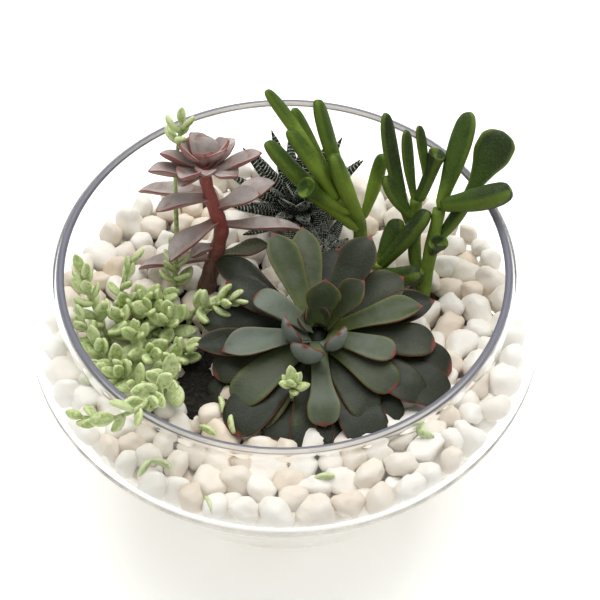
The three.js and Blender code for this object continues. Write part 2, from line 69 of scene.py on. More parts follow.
MM = 0.001
ROOT = "root"
DISPLAY_GAMMA = 2.2
DISPLAY_WHITE = 255
GOLDEN_ANGLE = math.radians(137.5)
NOISE_ROUGHNESS = 0.55
FINE_STEPS = 40
FAR = 1e3
TINY = 1e-6
Point = Sequence[float]
Colour = tuple[float, float, float, float]


def colour(red: float, green: float, blue: float) -> Colour:
    """A linear colour with full alpha, as shaders take it, from display values of 0 to 255."""
    return (*[(value / DISPLAY_WHITE) ** DISPLAY_GAMMA for value in (red, green, blue)], 1.0)


def unit(vector: Point) -> np.ndarray:
    """The vector at length one."""
    array = np.asarray(vector, float)
    return array / np.linalg.norm(array)


# Nodes


class Nodes:
    """A node tree, and the one method that adds nodes to it."""

    def __init__(self, tree: bpy.types.NodeTree) -> None:
        """Takes the tree."""
        self.tree = tree

    def node(
        self,
        kind: str,
        settings: Optional[dict[str, Any]] = None,
        inputs: Optional[dict[Any, Any]] = None,
        output: Any = 0,
    ) -> "Signal":
        """Adds a node.

        Args:
            kind: The node's type.
            settings: Its properties, set first.
            inputs: Socket names or numbers to values, sockets or signals.
            output: The output to hand back.

        Returns:
            The output.
        """
        made = self.tree.nodes.new(kind)
        for key, value in (settings or {}).items():
            setattr(made, key, value)
        for key, value in (inputs or {}).items():
            source = value.socket if isinstance(value, Signal) else value
            if isinstance(source, bpy.types.NodeSocket):
                self.tree.links.new(source, made.inputs[key])
            else:
                made.inputs[key].default_value = source
        return Signal(self, made.outputs[output])


class Signal:
    """An output socket of a node that Python's operators work on."""

    def __init__(self, nodes: Nodes, socket: bpy.types.NodeSocket) -> None:
        """Wraps a socket of a tree."""
        self.nodes = nodes
        self.socket = socket

    def _math(self, operation: str, *values: Any) -> "Signal":
        """Adds a Math node over some values."""
        return self.nodes.node("ShaderNodeMath", {"operation": operation}, dict(enumerate(values)))

    def __add__(self, other: Any) -> "Signal":
        """Sum."""
        return self._math("ADD", self, other)

    def __sub__(self, other: Any) -> "Signal":
        """Difference."""
        return self._math("SUBTRACT", self, other)

    def __rsub__(self, other: Any) -> "Signal":
        """Difference from the left."""
        return self._math("SUBTRACT", other, self)

    def __mul__(self, other: Any) -> "Signal":
        """Product."""
        return self._math("MULTIPLY", self, other)

    def __pow__(self, other: Any) -> "Signal":
        """Power."""
        return self._math("POWER", self, other)

    def __gt__(self, other: Any) -> "Signal":
        """One where it is greater, and zero elsewhere."""
        return self._math("GREATER_THAN", self, other)

    __radd__ = __add__
    __rmul__ = __mul__

    def absolute(self) -> "Signal":
        """The value without its sign."""
        return self._math("ABSOLUTE", self)

    def sine(self) -> "Signal":
        """The sine of the value."""
        return self._math("SINE", self)

    def larger(self, other: Any) -> "Signal":
        """The larger of two values."""
        return self._math("MAXIMUM", self, other)

    def step(self, low: float, high: float, start: float = 0.0, end: float = 1.0) -> "Signal":
        """A smooth step that gives start where the value is below low, and end where it is above high."""
        settings = {"interpolation_type": "SMOOTHSTEP"}
        return self.nodes.node("ShaderNodeMapRange", settings, {0: self, 1: low, 2: high, 3: start, 4: end})


class Paint(Nodes):
    """Builds the node tree of one material."""

    def __init__(self, name: str) -> None:
        """Starts an empty material.

        Args:
            name: The material's name.
        """
        self.material = bpy.data.materials.new(name)
        self.material.use_nodes = True
        super().__init__(self.material.node_tree)
        self.tree.nodes.clear()

    def attribute(self, name: str) -> Signal:
        """A number stored on the mesh."""
        return self.node("ShaderNodeAttribute", {"attribute_name": name}, output="Fac")

    def place(self, scale: Point = (1.0, 1.0, 1.0)) -> Signal:
        """Object coordinates in metres, stretched by scale."""
        where = self.node("ShaderNodeTexCoord", output="Object")
        return self.node("ShaderNodeMapping", inputs={"Vector": where, "Scale": scale})

    def height(self) -> Signal:
        """Object height in metres."""
        where = self.node("ShaderNodeTexCoord", output="Object")
        return self.node("ShaderNodeSeparateXYZ", inputs={0: where}, output="Z")

    def noise(self, scale: float, detail: float = 3.0, where: Optional[Signal] = None) -> Signal:
        """Noise from 0 to 1 over object coordinates.

        Args:
            scale: Features to a metre.
            detail: Octaves of finer noise.
            where: Other coordinates to read.

        Returns:
            The noise value.
        """
        inputs = {
            "Vector": where or self.place(),
            "Scale": scale,
            "Detail": detail,
            "Roughness": NOISE_ROUGHNESS,
        }
        return self.node("ShaderNodeTexNoise", inputs=inputs)

    def mix(self, share: Any, first: Any, second: Any) -> Signal:
        """Mixes two colours or signals; share is how much of the second, from 0 to 1."""
        return self.node("ShaderNodeMix", {"data_type": "RGBA"}, {0: share, 6: first, 7: second}, output=2)

    def bump(self, height: Signal, depth: float, strength: float = 1.0) -> Signal:
        """A normal from a height; depth is the metres that a height of one stands for."""
        inputs = {"Height": height, "Distance": depth, "Strength": strength}
        return self.node("ShaderNodeBump", inputs=inputs)

    def principled(self, **inputs: Any) -> Signal:
        """A Principled shader whose subsurface radii are metres; underscores stand for spaces."""
        named = {key.replace("_", " "): value for key, value in inputs.items()}
        return self.node("ShaderNodeBsdfPrincipled", inputs={"Subsurface Scale": 1.0, **named})

    def finish(self, shader: Signal) -> bpy.types.Material:
        """Joins a shader to the output.

        Args:
            shader: The shader that the surface shows.

        Returns:
            The finished material.
        """
        end = self.tree.nodes.new("ShaderNodeOutputMaterial")
        self.tree.links.new(shader.socket, end.inputs["Surface"])
        return self.material

    def opaque(self, **inputs: Any) -> bpy.types.Material:
        """The finished material of one Principled shader, with its inputs as above."""
        return self.finish(self.principled(**inputs))


# Finishes


@dataclass(frozen=True)
class ClearGlass:
    """Clear glass with a faint haze, and a rim ground rough that shows a painted grey reflection.

    Light on its way to the pieces inside passes straight through, so that they aren't left in the dark.
    """

    index: float = 1.47
    tint: Colour = (0.985, 0.99, 0.992, 1.0)
    # the grey of the painted reflection round the rim
    rim: Colour = colour(100, 101, 114)
    rim_from: float = 0.1572
    rim_to: float = 0.1584
    haze: float = 0.04
    ground_roughness: float = 0.46
    # shares of the rim's painted grey reflection where it is seen straight on and where seen aslant
    painted_reflection_seen_flat: float = 0.12
    painted_reflection_seen_aslant: float = 0.9

    def make(self) -> bpy.types.Material:
        """Builds the material.

        Returns:
            The material.
        """
        paint = Paint("clear_glass")
        ground = paint.height().step(self.rim_from, self.rim_to)
        glass = paint.principled(
            Base_Color=self.tint,
            Roughness=ground * self.ground_roughness + self.haze,
            IOR=self.index,
            Transmission_Weight=1.0,
        )
        clear = paint.node("ShaderNodeBsdfTransparent", inputs={"Color": self.tint})
        shadow = paint.node("ShaderNodeLightPath", output="Is Shadow Ray")
        bounced = paint.node("ShaderNodeLightPath", output="Is Diffuse Ray")
        body = paint.node("ShaderNodeMixShader", inputs={0: shadow.larger(bounced), 1: glass, 2: clear})
        # Painted reflection: a grey diffuse edge over the rim band, mixed in more where the rim is seen
        # aslant.
        edge = paint.principled(Base_Color=self.rim, Roughness=0.4, Specular_IOR_Level=0.3)
        slant = paint.node("ShaderNodeLayerWeight", inputs={"Blend": 0.5}, output="Facing")
        share = slant.step(0.06, 0.22, self.painted_reflection_seen_flat, self.painted_reflection_seen_aslant) * ground
        return paint.finish(paint.node("ShaderNodeMixShader", inputs={0: share, 1: body, 2: edge}))


@dataclass(frozen=True)
class TumbledStone:
    """White to cream stone with a sugary, softly worn surface."""

    white: Colour = colour(235, 230, 220)
    cream: Colour = colour(220, 205, 185)
    stain: Colour = colour(198, 178, 152)

    def make(self) -> bpy.types.Material:
        """Builds the material.

        Returns:
            The material.
        """
        paint = Paint("tumbled_white_stone")
        tone = paint.attribute("tone")
        cloud = paint.noise(70, 4)
        base = paint.mix((tone * 0.75 + cloud * 0.5 - 0.1).step(0.15, 0.95), self.white, self.cream)
        stained = paint.mix((paint.noise(38, 5) * tone).step(0.42, 0.72), base, self.stain)
        grain = paint.noise(900, 4) * 0.6 + paint.noise(160, 3) * 1.6
        return paint.opaque(
            Base_Color=stained,
            Roughness=paint.noise(220, 2).step(0.3, 0.7, 0.5, 0.72),
            Normal=paint.bump(grain, 0.0006, 0.5),
            Subsurface_Weight=0.12,
            Subsurface_Radius=(0.004, 0.0035, 0.003),
        )


@dataclass(frozen=True)
class DampSoil:
    """Dark crumbly soil with lighter grains."""

    dark: Colour = colour(28, 24, 18)
    light: Colour = colour(58, 51, 40)

    def make(self) -> bpy.types.Material:
        """Builds the material.

        Returns:
            The material.
        """
        paint = Paint("damp_soil")
        crumbs = paint.noise(420, 6)
        base = paint.mix(crumbs.step(0.48, 0.72), self.dark, self.light)
        return paint.opaque(Base_Color=base, Roughness=0.95, Normal=paint.bump(crumbs, 0.004))


@dataclass(frozen=True)
class BroadLeaf:
    """A waxy rosette leaf: its own colours above and below, painted light on its margins, a darker middle.
    """

    name: str
    upper: Colour
    bloom: Colour
    lower: Colour
    base: Colour
    edge: Colour
    # the colour of a high tone: painted shade on the large rosette, an old leaf's olive on the mauve one
    deep: Colour
    frost: Colour
    roughness: float = 0.5
    edge_from: float = 0.9
    glow: float = 0.05
    # how far the margins are painted lighter, as if lit
    lit_margin: float = 0.5
    mottle: float = 0.3

    def make(self) -> bpy.types.Material:
        """Builds the material.

        Returns:
            The material.
        """
        paint = Paint(self.name)
        along = paint.attribute("along")
        across = paint.attribute("across").absolute()
        face = paint.attribute("face")
        tone = paint.attribute("tone")
        cloud = paint.noise(60, 4)
        upper = paint.mix(cloud.step(0.36, 0.72), self.upper, self.bloom)
        upper = paint.mix(along.step(0.0, 0.5, 0.8, 0.0), upper, self.base)
        # Painted light: the margins lighten towards the base colour as if they caught the light.
        upper = paint.mix(across.step(0.6, 0.95, 0.0, self.lit_margin), upper, self.base)
        lower = paint.mix(cloud.step(0.35, 0.75, 0.0, 0.5), self.lower, self.bloom)
        skin = paint.mix(face.step(-0.35, 0.2), lower, upper)
        streak = paint.noise(90, 3, paint.place((1.0, 1.0, 4.0)))
        skin = paint.mix(streak.step(0.5, 0.8, 0.0, self.mottle), skin, self.lower)
        skin = paint.mix((paint.attribute("frost") + (cloud - 0.5) * 0.6).step(0.2, 1.0), skin, self.frost)
        # A high stored tone darkens towards the deep colour: painted shade on the large rosette's lower and
        # overlapped leaves and its stem, the olive of an old leaf on the mauve rosette.
        skin = paint.mix((tone + (cloud - 0.5) * 0.4).step(0.22, 0.7), skin, self.deep)
        skin = paint.mix(paint.noise(1300, 2).step(0.5, 0.72, 0.0, 0.2), skin, self.bloom)
        wobble = (paint.noise(240, 2) - 0.5) * 0.05
        margin = (across + wobble).step(self.edge_from, 0.985)
        tip = (along + wobble).step(0.94, 0.985)
        skin = paint.mix(margin.larger(tip) * along.step(0.25, 0.6, 0.25, 1.0), skin, self.edge)
        pores = paint.noise(700, 2) * 0.5 + paint.noise(130, 3) * 1.2
        return paint.opaque(
            Base_Color=skin,
            Roughness=cloud.step(0.3, 0.7, self.roughness - 0.07, self.roughness + 0.1),
            Normal=paint.bump(pores, 0.0005, 0.6),
            Specular_IOR_Level=0.3,
            Subsurface_Weight=self.glow,
            Subsurface_Radius=(0.002, 0.003, 0.001),
        )


@dataclass(frozen=True)
class JuicyLeaf:
    """A thick smooth leaf full of water, bright at its foot, darker towards its end; painted shade below,
    painted light on its edges.
    """

    name: str
    foot: Colour
    middle: Colour
    end: Colour
    fleck: Colour
    fleck_scale: float = 620.0
    roughness: float = 0.58
    glow: float = 0.08

    def make(self) -> bpy.types.Material:
        """Builds the material.

        Returns:
            The material.
        """
        paint = Paint(self.name)
        along = paint.attribute("along")
        tone = paint.attribute("tone")
        face = paint.attribute("face")
        cloud = paint.noise(75, 3)
        reach = (along + (cloud - 0.5) * 0.35 + (tone - 0.5) * 0.5).step(0.0, 0.42)
        skin = paint.mix(reach, self.foot, self.middle)
        # The face term paints shade on the lower face and keeps the upper face lighter.
        dark = (along * 0.6 + tone * 0.55 - face * 0.18 + (cloud - 0.5) * 0.4).step(0.45, 1.0)
        skin = paint.mix(dark, skin, self.end)
        dots = paint.node(
            "ShaderNodeTexVoronoi", inputs={"Vector": paint.place(), "Scale": self.fleck_scale}
        )
        skin = paint.mix(dots.step(0.0, 0.3, 0.5, 0.0), skin, self.fleck)
        skin = paint.mix(paint.noise(1500, 2).step(0.5, 0.72, 0.0, 0.3), skin, self.fleck)
        # Painted light: the edges lighten towards the foot colour as if they caught the light.
        edge = paint.attribute("across").absolute().step(0.7, 0.99, 0.0, 0.4)
        skin = paint.mix(edge, skin, self.foot)
        return paint.opaque(
            Base_Color=skin,
            Roughness=cloud.step(0.3, 0.7, self.roughness - 0.05, self.roughness + 0.1),
            Normal=paint.bump(dots + paint.noise(160, 2) * 2.0 + paint.noise(520, 3), 0.0005, 0.5),
            Specular_IOR_Level=0.25,
            Subsurface_Weight=self.glow,
            Subsurface_Radius=(0.0025, 0.005, 0.001),
        )


@dataclass(frozen=True)
class BandedLeaf:
    """A near-black green leaf crossed by fine broken white bands."""

    dark: Colour = colour(24, 28, 18)
    lit: Colour = colour(36, 44, 26)
    band: Colour = colour(212, 216, 206)
    bands: int = 19

    def make(self) -> bpy.types.Material:
        """Builds the material.

        Returns:
            The material.
        """
        paint = Paint("dark_banded_leaf")
        along = paint.attribute("along")
        skin = paint.mix(paint.noise(90, 3).step(0.35, 0.7), self.dark, self.lit)
        wander = (paint.noise(240, 2) - 0.5) * 6.0
        ridge = (along * (2 * math.pi * self.bands) + wander).sine()
        broken = paint.noise(800, 2).step(0.4, 0.52)
        line = ridge.step(0.8, 0.97) * broken * along.step(0.08, 0.2)
        skin = paint.mix(line * 0.8, skin, self.band)
        return paint.opaque(
            Base_Color=skin,
            Roughness=0.5,
            Specular_IOR_Level=0.25,
            Normal=paint.bump(ridge, 0.0004, 0.5),
        )


@dataclass(frozen=True)
class FrostedLeaf:
    """A plump pale leaf under a fine white bloom, with a few small red dots."""

    green: Colour = colour(142, 164, 86)
    pale: Colour = colour(208, 218, 166)
    shade: Colour = colour(118, 138, 72)
    dot: Colour = colour(150, 88, 70)

    def make(self) -> bpy.types.Material:
        """Builds the material.

        Returns:
            The material.
        """
        paint = Paint("frosted_pale_leaf")
        along = paint.attribute("along")
        tone = paint.attribute("tone")
        cloud = paint.noise(140, 3)
        skin = paint.mix((cloud * 0.8 + tone * 0.5).step(0.25, 0.95), self.shade, self.green)
        frost = (paint.noise(420, 4) * 0.7 + paint.noise(60, 2) * 0.5).step(0.4, 0.74)
        skin = paint.mix(frost * 0.78, skin, self.pale)
        skin = paint.mix(along.step(0.86, 1.0, 0.0, 0.5), skin, self.pale)
        margin = paint.attribute("across").absolute().step(0.6, 0.96, 0.0, 0.6)
        skin = paint.mix(margin, skin, self.pale)
        dots = paint.node("ShaderNodeTexVoronoi", inputs={"Vector": paint.place(), "Scale": 330.0})
        skin = paint.mix(dots.step(0.1, 0.2, 0.7, 0.0), skin, self.dot)
        return paint.opaque(
            Base_Color=skin,
            Roughness=0.62,
            Normal=paint.bump(paint.noise(900, 3), 0.0003, 0.5),
            Subsurface_Weight=0.2,
            Subsurface_Radius=(0.003, 0.005, 0.0015),
        )


@dataclass(frozen=True)
class RedStem:
    """A fleshy stem, red near its head and brown below."""

    red: Colour = colour(146, 72, 66)
    brown: Colour = colour(96, 70, 58)
    scar: Colour = colour(178, 122, 108)
    brown_to: float = 112.0
    red_from: float = 140.0
    wander: float = 26.0

    def make(self) -> bpy.types.Material:
        """Builds the material.

        Returns:
            The material.
        """
        paint = Paint("red_stem")
        rise = paint.height() * (1 / MM) + (paint.noise(60) - 0.5) * self.wander
        skin = paint.mix(rise.step(self.brown_to, self.red_from), self.brown, self.red)
        skin = paint.mix(paint.noise(240, 4).step(0.6, 0.75, 0.0, 0.5), skin, self.scar)
        return paint.opaque(
            Base_Color=skin, Roughness=0.5, Normal=paint.bump(paint.noise(300, 4), 0.0012)
        )


@dataclass(frozen=True)
class PlainSkin:
    """One colour with soft clouds of a second, for the beads and the floor."""

    name: str
    first: Colour
    second: Colour
    roughness: float = 0.6
    scale: float = 200.0
    depth: float = 0.0005
    glow: float = 0.0

    def make(self) -> bpy.types.Material:
        """Builds the material.

        Returns:
            The material.
        """
        paint = Paint(self.name)
        cloud = paint.noise(self.scale, 4)
        base = paint.mix(cloud.step(0.35, 0.7), self.first, self.second)
        return paint.opaque(
            Base_Color=base,
            Roughness=self.roughness,
            Normal=paint.bump(cloud, self.depth),
            Emission_Color=self.first,
            Emission_Strength=self.glow,
        )


# Meshes


def placed(name: str, data: Any) -> bpy.types.Object:
    """An object at the origin of the scene.

    Args:
        name: Its name.
        data: Its mesh, lamp or camera.

    Returns:
        The object.
    """
    made = bpy.data.objects.new(name, data)
    bpy.context.scene.collection.objects.link(made)
    return made


def icosphere(name: str, subdivisions: int) -> bpy.types.Mesh:
    """A ball of radius one.

    Args:
        name: The mesh's name.
        subdivisions: How finely it is cut; one gives twenty faces, and each more four times as many.

    Returns:
        The mesh.
    """
    ball = bmesh.new()
    bmesh.ops.create_icosphere(ball, subdivisions=subdivisions, radius=1.0)
    mesh = bpy.data.meshes.new(name)
    ball.to_mesh(mesh)
    ball.free()
    return mesh


def smooth_through(places: Sequence[float], values: Sequence[float], at: np.ndarray) -> np.ndarray:
    """A smooth curve through points that doesn't overshoot them.

    Args:
        places: Rising places.
        values: The values there.
        at: Where to read the curve.

    Returns:
        The values read.
    """
    x, y = np.asarray(places, float), np.asarray(values, float)
    slope = np.diff(y) / np.diff(x)
    bend = np.zeros_like(y)
    same = slope[:-1] * slope[1:] > 0
    bend[1:-1][same] = 2 * slope[:-1][same] * slope[1:][same] / (slope[:-1][same] + slope[1:][same])
    bend[0], bend[-1] = slope[0], slope[-1]
    k = np.clip(np.searchsorted(x, at, side="right") - 1, 0, len(x) - 2)
    h = x[k + 1] - x[k]
    t = np.clip((at - x[k]) / h, 0, 1)
    t2, t3 = t * t, t * t * t
    near = (2 * t3 - 3 * t2 + 1) * y[k] + (t3 - 2 * t2 + t) * h * bend[k]
    return near + (3 * t2 - 2 * t3) * y[k + 1] + (t3 - t2) * h * bend[k + 1]


def spline(points: Sequence[Point], steps: int) -> np.ndarray:
    """An evenly stepped smooth curve through points.

    Args:
        points: The points, in any number of dimensions.
        steps: How many stretches the curve is cut into.

    Returns:
        steps + 1 points.
    """
    p = np.asarray(points, float)
    chord = np.concatenate([[0], np.cumsum(np.sqrt(np.linalg.norm(np.diff(p, axis=0), axis=1)))])
    fine = np.linspace(0, chord[-1], FINE_STEPS * len(p))
    ends = np.vstack([2 * p[0] - p[1], p, 2 * p[-1] - p[-2]])
    knots = np.concatenate([[-chord[1]], chord, [2 * chord[-1] - chord[-2]]])
    curve = np.stack([_cubic(knots, ends[:, axis], fine) for axis in range(p.shape[1])], axis=1)
    reach = np.concatenate([[0], np.cumsum(np.linalg.norm(np.diff(curve, axis=0), axis=1))])
    even = np.linspace(0, reach[-1], steps + 1)
    return np.stack([np.interp(even, reach, curve[:, axis]) for axis in range(p.shape[1])], axis=1)


def _cubic(knots: np.ndarray, values: np.ndarray, at: np.ndarray) -> np.ndarray:
    """A cubic curve through values at knots, with slopes from each value's neighbours.

    Args:
        knots: Rising places.
        values: The values there.
        at: Where to read the curve, between the second knot and the last but one.

    Returns:
        The values read.
    """
    k = np.clip(np.searchsorted(knots, at, side="right") - 1, 1, len(knots) - 3)
    slope = (values[2:] - values[:-2]) / (knots[2:] - knots[:-2])
    slope = np.concatenate([[slope[0]], slope, [slope[-1]]])
    h = knots[k + 1] - knots[k]
    t = (at - knots[k]) / h
    t2, t3 = t * t, t * t * t
    near = (2 * t3 - 3 * t2 + 1) * values[k] + (t3 - 2 * t2 + t) * h * slope[k]
    return near + (3 * t2 - 2 * t3) * values[k + 1] + (t3 - t2) * h * slope[k + 1]


class Skin:
    """Gathers lofts into one mesh, with numbers stored on its vertices."""

    NUMBERS = ("along", "across", "face", "tone", "frost")

    def __init__(self) -> None:
        """Starts with nothing."""
        self.points: list[np.ndarray] = []
        self.faces: list[list[int]] = []
        self.numbers: dict[str, list[np.ndarray]] = {name: [] for name in self.NUMBERS}
        self.count = 0

    def add(
        self,
        rings: np.ndarray,
        ends: tuple[Optional[Point], Optional[Point]] = (None, None),
        **numbers: Any,
    ) -> None:
        """Adds a loft over rings of points.

        Args:
            rings: Points by ring and place round it, counterclockwise about the way the rings go.
            ends: A point past the first and the last ring, or None to close at the ring's middle.
            numbers: Values to store, one for each ring point or one for all.
        """
        count, around = rings.shape[:2]
        base = self.count
        first = rings[0].mean(0) if ends[0] is None else np.asarray(ends[0], float)
        last = rings[-1].mean(0) if ends[1] is None else np.asarray(ends[1], float)
        self.points += [rings.reshape(-1, 3), first[None], last[None]]
        for name in self.NUMBERS:
            value = np.broadcast_to(numbers.get(name, 0.0), (count, around))
            self.numbers[name] += [value.reshape(-1), value[0, :1], value[-1, :1]]
        foot, tip = base + count * around, base + count * around + 1
        for ring in range(count - 1):
            a, b = base + ring * around, base + (ring + 1) * around
            pairs = [(i, (i + 1) % around) for i in range(around)]
            self.faces += [[a + i, a + j, b + j, b + i] for i, j in pairs]
        top = base + (count - 1) * around
        self.faces += [[base + (i + 1) % around, base + i, foot] for i in range(around)]
        self.faces += [[top + i, top + (i + 1) % around, tip] for i in range(around)]
        self.count += count * around + 2

    def make(self, name: str, material: bpy.types.Material) -> bpy.types.Object:
        """Makes the mesh object.

        Args:
            name: The object's name.
            material: Its finish.

        Returns:
            The object, in metres, smooth shaded.
        """
        mesh = bpy.data.meshes.new(name)
        mesh.from_pydata(np.concatenate(self.points) * MM, [], self.faces)
        for key, parts in self.numbers.items():
            mesh.attributes.new(key, "FLOAT", "POINT").data.foreach_set("value", np.concatenate(parts))
        mesh.shade_smooth()
        mesh.materials.append(material)
        return placed(name, mesh)


def tube_rings(path: np.ndarray, radii: np.ndarray, sides: int) -> np.ndarray:
    """Round rings along a path.

    Args:
        path: Points along the middle.
        radii: The radius at each point.
        sides: Points round each ring.

    Returns:
        The rings' points.
    """
    along = np.gradient(path, axis=0)
    along /= np.linalg.norm(along, axis=1)[:, None]
    side = np.cross((0.0, 1.0, 0.0), along)
    side /= np.linalg.norm(side, axis=1)[:, None]
    other = np.cross(along, side)
    turn = np.linspace(0, 2 * math.pi, sides, endpoint=False)
    spread = np.cos(turn)[None, :, None] * side[:, None] + np.sin(turn)[None, :, None] * other[:, None]
    return path[:, None] + radii[:, None, None] * spread


class Outline(Enum):
    """Half widths along a leaf, as (distance along, share of the full half width) pairs."""

    SPOON = (
        (0, 0.44), (0.2, 0.52), (0.45, 0.76), (0.62, 0.95), (0.73, 1.0),
        (0.82, 0.88), (0.89, 0.62), (0.94, 0.36), (0.975, 0.14), (1, 0.02),
    )
    BLUNT = (
        (0, 0.56), (0.2, 0.64), (0.45, 0.84), (0.65, 0.97), (0.75, 1.0),
        (0.86, 0.93), (0.93, 0.74), (0.975, 0.44), (1, 0.06),
    )
    FLARED = (
        (0, 0.56), (0.25, 0.52), (0.5, 0.58), (0.68, 0.76),
        (0.82, 1.0), (0.9, 0.94), (0.96, 0.68), (1, 0.08),
    )
    BLADE = (
        (0, 0.4), (0.2, 0.55), (0.45, 0.9), (0.6, 1.0),
        (0.78, 0.84), (0.92, 0.42), (0.975, 0.14), (1, 0.02),
    )
    LANCE = ((0, 0.9), (0.35, 1.0), (0.7, 0.66), (0.9, 0.28), (1, 0.05))
    FINGER = (
        (0, 0.16), (0.06, 0.44), (0.25, 0.63), (0.5, 0.92), (0.7, 1.0),
        (0.86, 0.9), (0.94, 0.68), (0.985, 0.4), (1, 0.1),
    )
    PADDLE = (
        (0, 0.34), (0.2, 0.38), (0.42, 0.62), (0.7, 1.0),
        (0.85, 0.98), (0.95, 0.7), (0.985, 0.4), (1, 0.1),
    )
    TRUMPET = ((0, 0.2), (0.07, 0.48), (0.5, 0.6), (0.8, 0.74), (0.95, 0.98), (1, 1.0))
    PLUMP = (
        (0, 0.28), (0.15, 0.6), (0.4, 0.96), (0.55, 1.0),
        (0.76, 0.78), (0.91, 0.4), (0.98, 0.13), (1, 0.03),
    )

    def widths(self, along: np.ndarray) -> np.ndarray:
        """The shares at these distances."""
        places, shares = zip(*self.value)
        return smooth_through(places, shares, along)


@dataclass(frozen=True)
class LeafForm:
    """A kind of leaf, as a closed loft about a curved centre line."""

    CROWDING = 1.5  # the power by which the stations crowd towards the tip
    TURN_FROM = 0.66  # the share of the length where the tip starts to turn
    TURN_OVER = 0.34  # the share of the length that it turns over
    HEAVE = 1.6  # how far a ripple lifts the edges, over how far it widens them
    WAVES = ((6.0, 1.7, 1.3), (8.0, 1.0, 2.2))  # up and out: radians along, for the phase, for the edge

    outline: Outline
    thickness: float
    rise: float = 0.5  # share of the thickness that is above the middle
    cup: float = 0.0  # raises the edges, in half widths
    fold: float = 0.0  # folds the halves up from the middle, in half widths
    tip_turn: float = 0.0  # degrees that the last third turns further
    ripple: float = 0.0  # how far the edges wander, in half widths
    stations: int = 18
    around: int = 16
    squareness: float = 0.85  # below one, the edges of the section are fuller

    def rings(
        self,
        start: Point,
        heading: Point,
        up: Point,
        length: float,
        width: float,
        curl: float = 0.0,
        twist: float = 0.0,
        phase: float = 0.0,
    ) -> tuple[np.ndarray, dict[str, np.ndarray]]:
        """The leaf's rings and what its vertices store.

        Args:
            start: Where the leaf leaves its stem, in millimetres.
            heading: The way it sets off.
            up: Towards its upper face.
            length: Along its middle.
            width: At its widest.
            curl: Degrees that it turns towards up on its way.
            twist: Degrees that it turns about its own middle.
            phase: Where the wandering of its edges sets in, in radians.

        Returns:
            Ring points and the stored numbers.
        """
        t = np.linspace(0, 1, self.stations)
        s = 1 - (1 - t) ** self.CROWDING
        forward = unit(heading)
        normal = unit(np.asarray(up, float) - np.dot(up, forward) * forward)
        side = np.cross(normal, forward)
        bend = np.clip((s - self.TURN_FROM) / self.TURN_OVER, 0, 1)
        angle = np.radians(curl * s + self.tip_turn * bend * bend * (3 - 2 * bend))
        tangent = np.cos(angle)[:, None] * forward + np.sin(angle)[:, None] * normal
        lift = np.cos(angle)[:, None] * normal - np.sin(angle)[:, None] * forward
        steps = np.diff(s)[:, None] * (tangent[1:] + tangent[:-1]) / 2 * length
        middle = np.asarray(start, float) + np.vstack([np.zeros(3), np.cumsum(steps, axis=0)])
        share = self.outline.widths(s)
        half = width / 2 * share
        deep = self.thickness * np.sqrt(share)
        turn = np.linspace(0, 2 * math.pi, self.around, endpoint=False)
        across = np.sign(np.cos(turn)) * np.abs(np.cos(turn)) ** self.squareness
        wave = np.sign(np.sin(turn)) * np.abs(np.sin(turn)) ** self.squareness
        level = np.where(wave > 0, wave * self.rise, wave * (1 - self.rise))
        edge = np.sign(across)
        upward, outward = (np.sin(a * s[:, None] + b * phase + c * edge) for a, b, c in self.WAVES)
        heave = self.ripple * self.HEAVE * upward * across**2
        bowed = self.cup * across**2 + self.fold * np.abs(across) + heave
        raised = deep[:, None] * level + half[:, None] * bowed
        spread = half[:, None] * (1 + self.ripple * outward) * across
        turned = np.radians(twist) * s
        flat = np.cos(turned)[:, None] * side + np.sin(turned)[:, None] * lift
        stood = np.cos(turned)[:, None] * lift - np.sin(turned)[:, None] * side
        points = middle[:, None] + spread[..., None] * flat[:, None] + raised[..., None] * stood[:, None]
        shape = (self.stations, self.around)
        stored = {
            "along": np.broadcast_to(s[:, None], shape),
            "across": np.broadcast_to(across, shape),
            "face": np.broadcast_to(wave, shape),
        }
        return points, stored


def reach(start: Point, end: Point, up: Point, curl: float) -> tuple[np.ndarray, float]:
    """How a leaf bowed by curl degrees sets off to end at a point.

    Args:
        start: Where it starts.
        end: Where its tip is.
        up: Towards its upper face.
        curl: Degrees that it turns on its way.

    Returns:
        Its first heading and its length.
    """
    chord = np.asarray(end, float) - np.asarray(start, float)
    along = unit(chord)
    normal = unit(np.asarray(up, float) - np.dot(up, along) * along)
    half = math.radians(curl) / 2
    length = np.linalg.norm(chord) * (half / math.sin(half) if half else 1.0)
    return math.cos(half) * along - math.sin(half) * normal, length


# Geometry node trees


